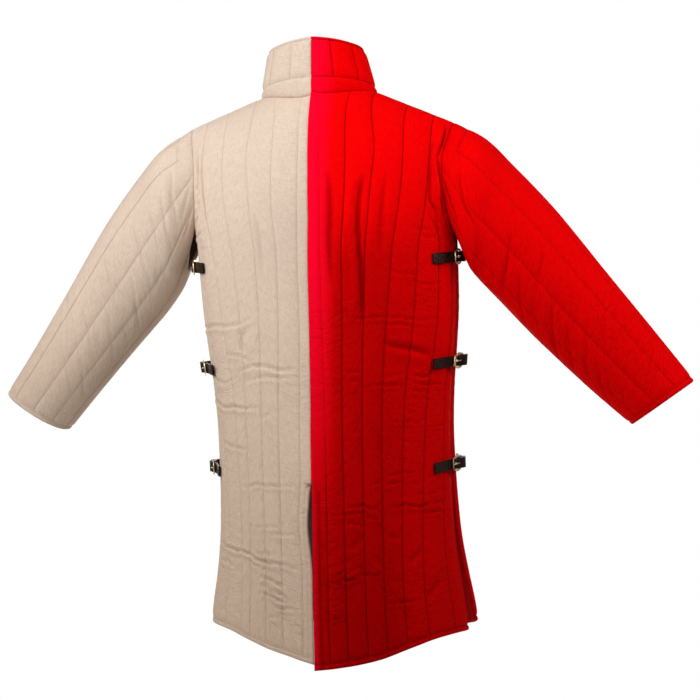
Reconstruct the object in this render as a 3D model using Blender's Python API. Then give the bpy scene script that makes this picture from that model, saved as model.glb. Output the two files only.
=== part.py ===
import bpy
import bmesh
import math

# Metres. +Z is up, the wearer faces -Y, +X is the wearer's left; z = 0 is the side of the neck.
SEAM = 0.0003           # gap between two pieces that are sewn together
MID_Y = 0.020           # shoulder seam and side opening lie in this plane
NECK_X = {"left": 0.110, "right": 0.100}    # side of the neck
NECK_DEPTH = {"back": 0.077, "front": 0.080}
SHOULDER_FALL = {"left": 0.35, "right": 0.45}   # drop of the shoulder seam per metre outward
ROUNDING = {"back": (0.270, 2.2), "front": (0.300, 1.5)}    # height of the shoulder's rounding, power
NECK_POWER = 1.6        # roundness of the neckline
SLEEVE_POWER = 2.2      # roundness of a sleeve ring
ARMPIT_Z = -0.262
SIDE_GAP = 0.0030       # half of the open side
NECK_SLIT = 0.45        # row where the slit at the front of the neck ends
COLLAR_OPEN = 0.006     # half gap of the collar and of that slit
GROOVE = -0.0020        # outer face at a quilting line, measured from the drawn surface
CROWN = 0.0020          # outer face between two lines
INSIDE = -0.0075        # plain inner face
FULL_PUFF = 0.030       # a channel narrower than this puffs less
EDGE_STITCH = 0.0095    # from an open edge to its line of stitching
EDGE_PUFF = 0.5         # puff of a rolled edge
ARM_STEPS = 15          # rows from shoulder to armpit, shared with half of a sleeve head
SEWN_STEPS = 13         # of these, the ones where the sleeve is sewn in
HEM_ROWS = (1.08, 1.17, 1.27, 1.37, 1.47, 1.57, 1.67, 1.77, 1.87, 1.945, 1.986, 2.0)

# body rings: height, half width, depth behind MID_Y, depth before MID_Y, power of the oval
BODY = (
    (0.060, 0.266, 0.124, 0.140, 2.40),
    (-0.100, 0.258, 0.128, 0.150, 2.40),
    (-0.200, 0.236, 0.131, 0.154, 2.40),
    (-0.262, 0.2275, 0.133, 0.154, 2.40),
    (-0.355, 0.2240, 0.138, 0.152, 2.40),
    (-0.450, 0.2150, 0.147, 0.148, 2.35),
    (-0.530, 0.2065, 0.154, 0.150, 2.30),
    (-0.620, 0.2035, 0.162, 0.156, 2.30),
    (-0.740, 0.2055, 0.168, 0.166, 2.30),
    (-0.810, 0.2120, 0.170, 0.172, 2.30),
    (-0.880, 0.2235, 0.171, 0.176, 2.30),
    (-0.970, 0.2330, 0.172, 0.180, 2.30),
)

# quilting lines of a panel: row (0 shoulder, 1 armpit, 2 hem), then metres from the centre seam
# of the seven lines and the edge
LINES = (
    (0.00, 0.0125, 0.063, 0.100, 0.158, 0.205, 0.218, 0.230, 0.243),
    (0.35, 0.0125, 0.064, 0.112, 0.160, 0.205, 0.211, 0.219, 0.228),
    (0.65, 0.0130, 0.064, 0.107, 0.157, 0.202, 0.213, 0.225, 0.237),
    (0.85, 0.0130, 0.061, 0.102, 0.150, 0.196, 0.222, 0.245, 0.262),
    (1.00, 0.0130, 0.057, 0.097, 0.143, 0.189, 0.230, 0.265, 0.295),
    (1.22, 0.0130, 0.052, 0.087, 0.125, 0.173, 0.223, 0.268, 0.300),
    (1.40, 0.0145, 0.050, 0.083, 0.117, 0.158, 0.205, 0.260, 0.302),
    (1.85, 0.0140, 0.049, 0.080, 0.111, 0.143, 0.182, 0.240, 0.308),
    (2.00, 0.0150, 0.050, 0.082, 0.114, 0.147, 0.187, 0.247, 0.315),
)
WIDER = {"left": 0.012, "right": 0.0}       # lines two to four stand this much further out below the armpit
SEAM_STRIP = {"left": 1.45, "right": 0.9}   # width of the strip along the centre seam, as a share of the table's
CUTS = (1, 3, 3, 3, 3, 3, 3, 3)             # grid steps in each channel
NECK_STEPS = 7                              # of these, the ones from the centre to the side of the neck

# hem height at shares of the way from centre to side
HEM = {
    "back_left": (
        (0.0, -0.959), (0.10, -0.951), (0.27, -0.936), (0.40, -0.922),
        (0.55, -0.909), (0.75, -0.906), (1.0, -0.912),
    ),
    "back_right": (
        (0.0, -0.969), (0.10, -0.965), (0.31, -0.952), (0.47, -0.936),
        (0.62, -0.925), (0.80, -0.925), (1.0, -0.935),
    ),
    "front_left": ((0.0, -0.950), (0.50, -0.932), (1.0, -0.908)),
    "front_right": ((0.0, -0.954), (0.50, -0.940), (1.0, -0.920)),
}
SIDE_Z = -0.925         # foot of the drawing's rings, the same for every panel

# centre slits: row, how far this edge stands off the middle
SLITS = {
    "back_left": (
        (1.50, 0.0), (1.54, 0.0035), (1.62, 0.0070), (1.74, 0.0065),
        (1.86, 0.0030), (1.95, 0.0006), (2.0, 0.0006),
    ),
    "back_right": ((1.50, 0.0), (1.54, 0.0004), (1.70, 0.0004), (2.0, 0.0006)),
    "front_left": ((1.63, 0.0), (1.80, 0.0016), (2.0, 0.0030)),
    "front_right": ((1.63, 0.0), (1.80, 0.0012), (2.0, 0.0026)),
}

# sideways hang of the whole coat: height, x
SWAY = (
    (0.100, 0.0), (-0.200, 0.0), (-0.262, -0.001), (-0.360, -0.004),
    (-0.450, -0.006), (-0.600, -0.0075), (-0.750, -0.009), (-0.980, -0.009),
)

# the back seam's own wander: height, x, fading to none at its reach on each side
SEAM_SWAY = (
    (-0.220, 0.0), (-0.300, 0.0040), (-0.380, 0.0055), (-0.550, 0.0060),
    (-0.700, 0.0065), (-0.850, 0.0085), (-0.980, 0.0095),
)
SEAM_REACH = 0.055

# sleeve rings: row, top point x z, under point x z, half depth, middle y
SLEEVES = {
    "left": (
        (0.10, 0.284, -0.073, 0.260, -0.304, 0.080, 0.016),
        (0.24, 0.327, -0.111, 0.272, -0.325, 0.079, 0.008),
        (0.42, 0.404, -0.200, 0.306, -0.366, 0.075, -0.002),
        (0.62, 0.487, -0.319, 0.371, -0.430, 0.069, -0.012),
        (0.82, 0.571, -0.436, 0.452, -0.512, 0.063, -0.024),
        (1.00, 0.622, -0.501, 0.512, -0.575, 0.059, -0.034),
    ),
    "right": (
        (0.10, 0.283, -0.089, 0.256, -0.301, 0.080, 0.018),
        (0.24, 0.322, -0.129, 0.262, -0.325, 0.078, 0.012),
        (0.42, 0.397, -0.214, 0.300, -0.368, 0.073, 0.002),
        (0.62, 0.475, -0.318, 0.357, -0.432, 0.067, -0.010),
        (0.82, 0.557, -0.427, 0.442, -0.518, 0.060, -0.023),
        (1.00, 0.620, -0.512, 0.514, -0.585, 0.055, -0.034),
    ),
}
SLEEVE_ROWS = (0.0, 0.05, 0.10, 0.17, 0.24, 0.33, 0.42, 0.52, 0.62, 0.72, 0.82, 0.92, 0.984, 1.0)
UNDERARM = {"left": (0.250, -0.296), "right": (0.250, -0.292)}      # x z of the open underarm

# collar rings: row, half width left and right, depth behind, depth before, height behind, height before
COLLAR = (
    (0.30, 0.1040, 0.0940, 0.0735, 0.0780, 0.022, 0.000),
    (0.60, 0.0985, 0.0870, 0.0705, 0.0740, 0.050, 0.032),
    (1.00, 0.0915, 0.0765, 0.0660, 0.0690, 0.088, 0.070),
)
COLLAR_ROWS = (0.0, 0.15, 0.30, 0.45, 0.60, 0.75, 0.90, 1.0)
COLLAR_LINES = (0, 3, 5, 7, 9, 11, 14)      # columns that are quilted
COLLAR_STITCHED = (0, 2, 6)                 # rows that are sewn through

# fastenings: height of each strap, share of the stand-off; the upper ones are pressed in by the sleeves
BUCKLES = {"upper": (-0.288, 0.4), "middle": (-0.464, 1.0), "lower": (-0.638, 1.0)}
STRAP_LEAN = 0.08       # a strap stands this much lower per metre behind the opening
STRAP = {"half": 0.0090, "slot": 0.0017, "thick": 0.0024}
STRAP_HOLES = ((5, 1), (6, 1))      # grid cells left open for the prong
# strap along the side: metres before the opening, lift of its middle
STRAP_PATH = (
    (-0.086, 0.0037), (-0.074, 0.0037), (-0.062, 0.0037), (-0.051, 0.0042), (-0.0395, 0.0057),
    (-0.0345, 0.0068), (-0.026, 0.0099), (-0.017, 0.0129), (-0.010, 0.0132),
    (-0.003, 0.0121), (0.003, 0.0107), (0.008, 0.0097), (0.012, 0.0093),
)
STRAP_TAPER = {11: 0.72, 12: 0.18}  # width of the last points
CHAPE_HOLES = tuple((i, 1) for i in range(4, 10))
CHAPE = {"half": 0.0088, "slot": 0.0019, "thick": 0.0016}
CHAPE_PATH = (
    (0.034, 0.0062), (0.021, 0.0062), (0.007, 0.0066), (-0.006, 0.0083), (-0.0105, 0.0091), (-0.015, 0.0093),
    (-0.0169, 0.0085), (-0.0176, 0.0066), (-0.0169, 0.0047), (-0.015, 0.0040), (-0.0105, 0.0040),
    (0.005, 0.0040), (0.020, 0.0040), (0.034, 0.0040),
)
# a buckled strap stands off the cloth: metres before the opening, rise
STAND_OFF = (
    (-0.062, 0.0), (-0.045, 0.0002), (-0.040, 0.0014), (-0.028, 0.0050), (-0.014, 0.0092),
    (-0.005, 0.0100), (0.006, 0.0075), (0.017, 0.0030), (0.026, 0.0004), (0.036, 0.0),
)
# buckle frame: metres before the opening, height over its middle
FRAME_OUT = (
    (-0.0390, -0.0090), (-0.0390, 0.0090), (-0.0260, 0.0142),
    (-0.0138, 0.0126), (-0.0138, -0.0126), (-0.0260, -0.0142),
)
FRAME_IN = (
    (-0.0358, -0.0098), (-0.0358, 0.0098), (-0.0260, 0.0101),
    (-0.0162, 0.0098), (-0.0162, -0.0098), (-0.0260, -0.0101),
)
FRAME_HALF = 0.0012     # half thickness
BAR = (-0.015, 0.0066)  # the bar that the chape holds: metres before the opening, lift
FRAME_TILT = 0.133      # the frame's free end stands higher
PRONG_HALF = 0.0011     # half its square section
PRONG_PATH = (
    (-0.0119, 0.0051), (-0.0120, 0.0077), (-0.0138, 0.0095), (-0.0190, 0.0100), (-0.0290, 0.0113),
    (-0.0362, 0.0127), (-0.0410, 0.0125),
)

# colour, roughness, metallic
LOOKS = {
    "natural_cotton": ((0.78, 0.69, 0.60, 1.0), 0.90, 0.0),
    "red_cotton": ((0.62, 0.02, 0.02, 1.0), 0.85, 0.0),
    "dark_leather": ((0.05, 0.03, 0.02, 1.0), 0.50, 0.0),
    "pale_brass": ((0.75, 0.62, 0.38, 1.0), 0.30, 1.0),
}


def between(rows, place):
    last = len(rows) - 1
    down = rows[0][0] > rows[last][0]
    for i in range(last):
        if (place >= rows[i + 1][0]) if down else (place <= rows[i + 1][0]):
            break
    a, b, c, d = rows[max(i - 1, 0)], rows[i], rows[i + 1], rows[min(i + 2, last)]
    t = min(max((place - b[0]) / (c[0] - b[0]), 0.0), 1.0)
    out = []
    for k in range(1, len(b)):
        span = c[0] - b[0]
        m0 = (c[k] - a[k]) / (c[0] - a[0]) * span
        m1 = (d[k] - b[k]) / (d[0] - b[0]) * span
        out.append((2 * t**3 - 3 * t**2 + 1) * b[k] + (t**3 - 2 * t**2 + t) * m0
                   + (3 * t**2 - 2 * t**3) * c[k] + (t**3 - t**2) * m1)
    return out


def add(a, b, share=1.0):
    return tuple(a[i] + b[i] * share for i in range(3))


def cross(a, b):
    return (a[1] * b[2] - a[2] * b[1], a[2] * b[0] - a[0] * b[2], a[0] * b[1] - a[1] * b[0])


def unit(a):
    size = math.sqrt(sum(k * k for k in a)) or 1.0
    return tuple(k / size for k in a)


def oval(halfWidth, depth, power, steps=72):
    out = []
    far = 0.0
    for i in range(steps + 1):
        turn = math.pi / 2 * i / steps
        x = halfWidth * math.sin(turn)**(2 / power)
        y = depth * max(math.cos(turn), 0.0)**(2 / power)
        if out:
            far += math.hypot(x - out[-1][1], y - out[-1][2])
        out.append((far, x, y))
    return out


def along(quarter, arc):
    arc = min(max(arc, 0.0), quarter[-1][0])
    for a, b in zip(quarter, quarter[1:]):
        if arc <= b[0]:
            t = (arc - a[0]) / max(b[0] - a[0], 1e-9)
            return a[1] + (b[1] - a[1]) * t, a[2] + (b[2] - a[2]) * t
    return quarter[-1][1:]


rings = {}


def bodyRing(face, z):
    key = (face, round(z, 6))
    if key not in rings:
        halfWidth, behind, before, power = between(BODY, z)
        rings[key] = oval(halfWidth, behind if face == "back" else before, power)
    return rings[key]


def shoulderZ(side, x):
    return -SHOULDER_FALL[side] * (x - NECK_X[side])


def rounded(side, face, x, z):
    height, power = ROUNDING[face]
    t = min(max((shoulderZ(side, x) - z) / height, 0.0), 1.0)
    return (1 - (1 - t)**power)**(1 / power)


def neckZ(side, face, x):
    height, power = ROUNDING[face]
    top = shoulderZ(side, x)
    want = NECK_DEPTH[face] * max(1 - (x / NECK_X[side])**NECK_POWER, 0.0)**(1 / NECK_POWER)
    z = top
    for _ in range(6):
        halfWidth, behind, before, oval_power = between(BODY, z)
        depth = (behind if face == "back" else before) * (1 - (x / halfWidth)**oval_power)**(1 / oval_power)
        share = min(want / depth, 1.0)
        z = top - height * (1 - (1 - share**power)**(1 / power))
    return z


def hemZ(side, face, arc):
    return between(HEM[face + "_" + side], arc / bodyRing(face, SIDE_Z)[-1][0])[0]


def drawn(side, face, arc, row):
    # point of the half body on +X: arc from the centre seam; row 0 shoulder, 1 armpit, 2 hem
    if row < 1:
        z = 0.0
        for _ in range(4):
            x = along(bodyRing(face, z), arc)[0]
            z = neckZ(side, face, x) if x < NECK_X[side] - 1e-3 else shoulderZ(side, x)
        z += (ARMPIT_Z - z) * row
    else:
        z = ARMPIT_Z + (hemZ(side, face, arc) - ARMPIT_Z) * (row - 1)
    x, y = along(bodyRing(face, z), arc)
    y *= rounded(side, face, x, z)
    return (x, MID_Y + (y if face == "back" else -y), z)


def places(side, row):
    # arc of every grid column at this row, with its puff: none on a quilting line
    marks = [0.0] + between(LINES, row)
    marks[1] *= SEAM_STRIP[side]
    shift = (NECK_X[side] - marks[3]) * max(1 - row / 0.5, 0.0)**2
    marks[2] += shift * 0.7
    marks[3] += shift
    marks[4] += shift * 0.5
    for k in (2, 3, 4):
        marks[k] += WIDER[side] * min(max(row - 1, 0.0) / 0.4, 1.0)
    out, puff = [0.0], [0.0]
    for k in range(8):
        a, b = marks[k], marks[k + 1]
        for i in range(1, CUTS[k] + 1):
            share = i / CUTS[k]
            sewn = i == CUTS[k]
            if k == 7 and i == 2:
                share = 1 - min(EDGE_STITCH / (b - a), 0.4)
                sewn = True
            out.append(a + (b - a) * share)
            puff.append(0.0 if sewn else min((b - a) / FULL_PUFF, 1.0))
    return out, puff


def panelRows():
    return [(i / ARM_STEPS)**1.4 for i in range(ARM_STEPS + 1)] + list(HEM_ROWS)


def panelSurface(side, face):
    # drawn points of half a body face on +X, row by row, with the puff of each
    grid, puffs = [], []
    rows = panelRows()
    for i, row in enumerate(rows):
        arcs, puff = places(side, row)
        z = ARMPIT_Z if row < 1 else ARMPIT_Z + (HEM[face + "_" + side][-1][1] - ARMPIT_Z) * (row - 1)
        scale = (bodyRing(face, z)[-1][0] - SIDE_GAP) / places(side, max(row, 1.0))[0][-1]
        scale = 1 + (scale - 1) * min(row, 1.0)**2
        arcs = [a * (1 + (scale - 1) * (a / arcs[-1])) for a in arcs]
        points = [list(drawn(side, face, a, row)) for a in arcs]
        points[0][0] = SEAM / 2
        wide = between(SLITS[face + "_" + side], row)[0]
        if face == "front":
            wide = max(wide, COLLAR_OPEN * max(1 - row / NECK_SLIT, 0.0))
        for k in range(4):
            points[k][0] += wide * (1 - k / 4)
        if row == 0:
            for p in points[NECK_STEPS:]:
                p[1] = MID_Y + (SEAM / 2 if face == "back" else -SEAM / 2)
                p[2] = shoulderZ(side, p[0])
        grid.append([tuple(p) for p in points])
        if row == 0 or i == len(rows) - 2:
            puff = [0.0] * len(puff)
        if i == len(rows) - 1:
            puff = [EDGE_PUFF] * len(puff)
        if row > 1:
            puff[-1] = EDGE_PUFF
        puffs.append(puff)
    return grid, puffs


def normals(grid, outward, loop=False):
    out = []
    last = len(grid) - 1
    for i, row in enumerate(grid):
        line = []
        n = len(row)
        for j in range(n):
            up, down = grid[max(i - 1, 0)][j], grid[min(i + 1, last)][j]
            a = row[(j - 1) % n] if loop else row[max(j - 1, 0)]
            b = row[(j + 1) % n] if loop else row[min(j + 1, n - 1)]
            v = unit(cross(add(b, a, -1), add(down, up, -1)))
            line.append(tuple(k * outward for k in v))
        out.append(line)
    return out


def mix(a, b):
    return unit(add(a, b))


def away(points, j, n, toward, loop=False):
    # direction in the wall's middle, square to the seam and to n, pointing the way given
    m = len(points)
    a = points[(j - 1) % m] if loop else points[max(j - 1, 0)]
    b = points[(j + 1) % m] if loop else points[min(j + 1, m - 1)]
    v = unit(cross(n, add(b, a, -1)))
    return v if sum(v[k] * toward[k] for k in range(3)) > 0 else tuple(-k for k in v)


def sleeveSurface(side, heads):
    # rings of one sleeve on +X; the first is the armhole of both panels
    count = 2 * ARM_STEPS
    first = list(heads)
    low = UNDERARM[side]
    step = (low[0] - heads[ARM_STEPS][0], 0.0, low[1] - heads[ARM_STEPS][2])
    for j in range(count):
        off = ARM_STEPS - abs(ARM_STEPS - j)
        if off > SEWN_STEPS:
            first[j] = add(heads[j], step, (off - SEWN_STEPS) / (ARM_STEPS - SEWN_STEPS))
    columns = []
    for j in range(count):
        turn = math.pi * j / ARM_STEPS
        c, s = math.cos(turn), math.sin(turn)
        c = math.copysign(abs(c)**(2 / SLEEVE_POWER), c)
        s = math.copysign(abs(s)**(2 / SLEEVE_POWER), s)
        table = [(0.0,) + tuple(first[j])]
        for row, ux, uz, lx, lz, half, y in SLEEVES[side]:
            x = (ux + lx) / 2 + (ux - lx) / 2 * c
            z = (uz + lz) / 2 + (uz - lz) / 2 * c
            table.append((row, x, y + half * s, z))
        columns.append([tuple(between(table, row)) for row in SLEEVE_ROWS])
    return [[columns[j][i] for j in range(count)] for i in range(len(SLEEVE_ROWS))]


def collarSurface(side, base):
    columns = []
    count = len(base)
    half = (count - 1) // 2
    for j in range(count):
        table = [(0.0,) + tuple(base[j])]
        for row, wideLeft, wideRight, behind, before, zBack, zFront in COLLAR:
            back = j <= half
            quarter = oval(wideLeft if side == "left" else wideRight, behind if back else before, 2.0)
            x, y = along(quarter, quarter[-1][0] * (j if back else count - 1 - j) / half)
            y = y if back else -y
            z = zBack + (zFront - zBack) * (behind - y) / (behind + before)
            if j == 0:
                x = SEAM / 2
            if j == count - 1:
                x = COLLAR_OPEN
            table.append((row, x, MID_Y + y, z))
        columns.append([tuple(between(table, row)) for row in COLLAR_ROWS])
    return [[columns[j][i] for j in range(count)] for i in range(len(COLLAR_ROWS))]


def shell(name, outer, inner, look, loop=False, holes=(), mirror=False):
    # closed body between two grids of points
    mesh = bmesh.new()
    flip = -1 if mirror else 1
    sheets = []
    for grid in (outer, inner):
        sheets.append([[mesh.verts.new((p[0] * flip, p[1], p[2])) for p in row] for row in grid])
    rows, columns = len(outer), len(outer[0])
    wide = columns if loop else columns - 1
    cells = [(i, j) for i in range(rows - 1) for j in range(wide) if (i, j) not in holes]
    edges = {}
    for i, j in cells:
        k = (j + 1) % columns
        corners = ((i, j), (i, k), (i + 1, k), (i + 1, j))
        mesh.faces.new([sheets[0][a][b] for a, b in corners])
        mesh.faces.new([sheets[1][a][b] for a, b in reversed(corners)])
        for n in range(4):
            a, b = corners[n], corners[(n + 1) % 4]
            if (b, a) in edges:
                del edges[(b, a)]
            else:
                edges[(a, b)] = True
    for a, b in edges:
        outside, inside = [sheet[b[0]][b[1]] for sheet in sheets]
        mesh.faces.new([outside, sheets[0][a[0]][a[1]], sheets[1][a[0]][a[1]], inside])
    for v in [v for v in mesh.verts if not v.link_faces]:
        mesh.verts.remove(v)
    finish(name, mesh, look)


def material(look):
    made = bpy.data.materials.new(look)
    made.use_nodes = True
    shader = made.node_tree.nodes["Principled BSDF"]
    shader.inputs["Base Color"].default_value = LOOKS[look][0]
    shader.inputs["Roughness"].default_value = LOOKS[look][1]
    shader.inputs["Metallic"].default_value = LOOKS[look][2]
    return made


def finish(name, mesh, look):
    for v in mesh.verts:
        if v.co.y > MID_Y:
            v.co.x += between(SEAM_SWAY, v.co.z)[0] * max(1 - abs(v.co.x) / SEAM_REACH, 0.0)
        if not name.startswith("sleeve"):
            v.co.x += between(SWAY, v.co.z)[0]
    bmesh.ops.triangulate(mesh, faces=mesh.faces)
    bmesh.ops.recalc_face_normals(mesh, faces=mesh.faces)
    data = bpy.data.meshes.new(name)
    mesh.to_mesh(data)
    mesh.free()
    data.materials.append(material(look))
    data.shade_smooth()
    data.set_sharp_from_angle(angle=math.radians(40))
    piece = bpy.data.objects.new(name, data)
    bpy.context.scene.collection.objects.link(piece)
    print(name, len(data.polygons))


def walls(grid, push, puffs):
    outer, inner = [], []
    for points, ways, puff in zip(grid, push, puffs):
        outer.append([add(p, n, GROOVE + (CROWN - GROOVE) * f) for p, n, f in zip(points, ways, puff)])
        inner.append([add(p, n, INSIDE) for p, n in zip(points, ways)])
    return outer, inner


def sideSpot(strap, g, v, lift):
    # spot over the side of the body on +X: g before the opening, v above the strap, lift off the cloth
    height = strap[0] + v + STRAP_LEAN * g
    lift += between(STAND_OFF, g)[0] * strap[1]

    def spot(g):
        face = "back" if g < 0 else "front"
        ring = bodyRing(face, height)
        x, y = along(ring, ring[-1][0] - abs(g))
        return x, MID_Y + (y if face == "back" else -y)
    a, b, p = spot(g - 0.006), spot(g + 0.006), spot(g)
    t = unit((b[0] - a[0], b[1] - a[1], 0.0))
    return p[0] - t[1] * lift, p[1] + t[0] * lift, height


def strip(name, strap, path, sizes, taper, holes, look, mirror):
    across = (-sizes["half"], -sizes["slot"], sizes["slot"], sizes["half"])
    outer, inner = [], []
    for i, (g, lift) in enumerate(path):
        a, b = path[max(i - 1, 0)], path[min(i + 1, len(path) - 1)]
        t = unit((b[0] - a[0], b[1] - a[1], 0.0))
        wide = taper.get(i, 1.0)
        for sheet, way in ((outer, 1), (inner, -1)):
            off = way * sizes["thick"] / 2
            sheet.append([sideSpot(strap, g - t[1] * off, v * wide, lift + t[0] * off) for v in across])
    shell(name, outer, inner, look, holes=holes, mirror=mirror)


def buckleFrame(name, strap, look, mirror):
    mesh = bmesh.new()
    flip = -1 if mirror else 1
    loops = []
    for outline, way in ((FRAME_OUT, 1), (FRAME_OUT, -1), (FRAME_IN, -1), (FRAME_IN, 1)):
        loops.append([])
        for g, v in outline:
            x, y, height = sideSpot(strap, g, v, BAR[1] + FRAME_TILT * (BAR[0] - g) + way * FRAME_HALF)
            loops[-1].append(mesh.verts.new((x * flip, y, height)))
    for k in range(4):
        a, b = loops[k], loops[(k + 1) % 4]
        for j in range(6):
            n = (j + 1) % 6
            mesh.faces.new((a[j], a[n], b[n], b[j]))
    finish(name, mesh, look)


def prong(name, strap, look, mirror):
    mesh = bmesh.new()
    flip = -1 if mirror else 1
    sections = []
    for i, (g, lift) in enumerate(PRONG_PATH):
        a, b = PRONG_PATH[max(i - 1, 0)], PRONG_PATH[min(i + 1, len(PRONG_PATH) - 1)]
        t = unit((b[0] - a[0], b[1] - a[1], 0.0))
        sections.append([])
        for off, v in ((1, -1), (1, 1), (-1, 1), (-1, -1)):
            off *= PRONG_HALF
            x, y, height = sideSpot(strap, g - t[1] * off, v * PRONG_HALF, lift + t[0] * off)
            sections[-1].append(mesh.verts.new((x * flip, y, height)))
    for a, b in zip(sections, sections[1:]):
        for j in range(4):
            mesh.faces.new((a[j], a[(j + 1) % 4], b[(j + 1) % 4], b[j]))
    mesh.faces.new(sections[0])
    mesh.faces.new(sections[-1])
    finish(name, mesh, look)


def armhole(panels):
    # armhole points of both panels, all round, and the face and row each comes from
    order = [("back", i) for i in range(ARM_STEPS + 1)]
    order += [("front", i) for i in range(ARM_STEPS - 1, 0, -1)]
    heads = [panels[face][0][i][-1] for face, i in order]
    for j in (0, ARM_STEPS):
        heads[j] = (heads[j][0], MID_Y, heads[j][2])
    return order, heads


def sleeve(side, cloth, panels, pushes):
    order, heads = armhole(panels)
    arm = sleeveSurface(side, heads)
    push = normals(arm, 1, loop=True)
    middle = [sum(p[k] for p in arm[5]) / len(arm[5]) for k in range(3)]
    if sum(push[5][0][k] * (arm[5][0][k] - middle[k]) for k in range(3)) < 0:
        push = normals(arm, -1, loop=True)
    for j, (face, i) in enumerate(order):
        if i > SEWN_STEPS:
            continue
        n = mix(pushes[face][i][-1], push[0][j])
        if i == 0:
            n = unit((n[0], 0.0, n[2]))
            pushes["front"][0][-1] = n
        pushes[face][i][-1] = n     # the walls of panel and sleeve meet in one mitre
        push[0][j] = n
        toward = add(arm[3][j], heads[j], -1)
        arm[0][j] = add(arm[0][j], away(heads, j, n, toward, loop=True), SEAM)
    channel = [0.0 if (j - 2) % 3 == 0 else 1.0 for j in range(2 * ARM_STEPS)]
    puffs = [list(channel) for _ in SLEEVE_ROWS]
    puffs[0] = [0.0] * len(channel)
    puffs[-2] = [0.0] * len(channel)
    puffs[-1] = [EDGE_PUFF] * len(channel)
    shell("sleeve_" + side, *walls(arm, push, puffs), cloth, loop=True, mirror=side == "right")


def collar(side, cloth, panels, pushes):
    ring = [("back", j) for j in range(NECK_STEPS + 1)]
    ring += [("front", j) for j in range(NECK_STEPS - 1, -1, -1)]
    base = [panels[face][0][0][j] for face, j in ring]
    base[NECK_STEPS] = (base[NECK_STEPS][0], MID_Y, base[NECK_STEPS][2])
    grid = collarSurface(side, base)
    push = normals(grid, 1)
    if push[3][NECK_STEPS][0] < 0:
        push = normals(grid, -1)
    for row in push:
        row[0] = unit((0.0, row[0][1], row[0][2]))
        row[-1] = unit((0.0, row[-1][1], row[-1][2]))
    for k, (face, j) in enumerate(ring):
        n = mix(pushes[face][0][j], push[0][k])
        if j == NECK_STEPS:
            n = unit((n[0], 0.0, n[2]))
            pushes["front"][0][j] = n
        if j == 0:
            n = unit((0.0, n[1], n[2]))
        pushes[face][0][j] = n      # the same mitre as on the sleeves
        push[0][k] = n
        up = away(base, k, n, (0.0, 0.0, 1.0))
        if j == 0:
            up = unit((0.0, up[1], up[2]))
        grid[0][k] = add(base[k], up, SEAM)
    puffs = []
    for i in range(len(COLLAR_ROWS)):
        puffs.append([0.0 if j in COLLAR_LINES or i in COLLAR_STITCHED else 0.8 for j in range(len(base))])
    puffs[-1] = [EDGE_PUFF] * len(base)
    shell("collar_" + side, *walls(grid, push, puffs), cloth, mirror=side == "right")


def fastening(side, place, strap):
    tag = "_" + place + "_" + side
    mirror = side == "right"
    strip("strap" + tag, strap, STRAP_PATH, STRAP, STRAP_TAPER, STRAP_HOLES, "dark_leather", mirror)
    strip("chape" + tag, strap, CHAPE_PATH, CHAPE, {}, CHAPE_HOLES, "dark_leather", mirror)
    buckleFrame("buckle" + tag, strap, "pale_brass", mirror)
    prong("prong" + tag, strap, "pale_brass", mirror)


def half(side, cloth):
    panels = {face: panelSurface(side, face) for face in ("back", "front")}
    pushes = {face: normals(panels[face][0], 1 if face == "back" else -1) for face in panels}
    for push in pushes.values():
        for i, row in enumerate(push):
            row[0] = unit((0.0, row[0][1], row[0][2]))
            if i > ARM_STEPS:
                row[-1] = unit((row[-1][0], 0.0, row[-1][2]))
        for j in range(NECK_STEPS, len(push[0])):
            push[0][j] = unit((SHOULDER_FALL[side], 0.0, 1.0))
    sleeve(side, cloth, panels, pushes)
    collar(side, cloth, panels, pushes)
    for face in panels:
        grid, puffs = panels[face]
        shell(face + "_" + side, *walls(grid, pushes[face], puffs), cloth, mirror=side == "right")
    for place, strap in BUCKLES.items():
        fastening(side, place, strap)


for piece in list(bpy.data.objects):
    bpy.data.objects.remove(piece, do_unlink=True)
half("left", "natural_cotton")
half("right", "red_cotton")
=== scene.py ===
import math
import random

import bmesh
import bpy
import numpy as np
from mathutils import Matrix, Vector


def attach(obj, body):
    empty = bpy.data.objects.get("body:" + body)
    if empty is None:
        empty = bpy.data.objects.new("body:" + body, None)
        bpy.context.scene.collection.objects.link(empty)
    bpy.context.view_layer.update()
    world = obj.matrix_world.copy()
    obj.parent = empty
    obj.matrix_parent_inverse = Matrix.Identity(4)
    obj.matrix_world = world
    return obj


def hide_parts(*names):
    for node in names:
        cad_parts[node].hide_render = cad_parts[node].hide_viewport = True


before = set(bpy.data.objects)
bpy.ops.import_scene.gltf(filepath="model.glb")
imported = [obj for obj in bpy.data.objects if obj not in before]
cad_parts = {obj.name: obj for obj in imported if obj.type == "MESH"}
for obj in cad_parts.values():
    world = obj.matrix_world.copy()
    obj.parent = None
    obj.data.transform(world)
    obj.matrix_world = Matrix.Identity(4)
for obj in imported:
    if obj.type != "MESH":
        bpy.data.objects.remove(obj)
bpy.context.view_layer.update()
print("frame loaded:", len(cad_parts), "nodes")

# camera, metres and degrees
view = {"turn": 193.0, "roll": 1.70, "away": 3.0, "aside": 0.0315, "height": -0.443, "lens": 88.1}


def makeCamera():
    turn = math.radians(view["turn"])
    back = Vector((math.sin(turn), -math.cos(turn), 0))
    right = Vector((-back.y, back.x, 0))
    up = Vector((0, 0, 1))
    lean = math.tan(math.radians(view["roll"]))
    sideways = (right - up * lean).normalized()
    upward = (up + right * lean).normalized()
    place = back * view["away"] + right * view["aside"] + up * view["height"]
    data = bpy.data.cameras.new("camera")
    data.lens = view["lens"]
    camera = bpy.data.objects.new("camera", data)
    camera.matrix_world = Matrix((sideways, upward, back)).transposed().to_4x4()
    camera.location = place
    bpy.context.scene.collection.objects.link(camera)
    bpy.context.scene.camera = camera
    return back, right


towardCamera, cameraRight = makeCamera()

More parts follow.
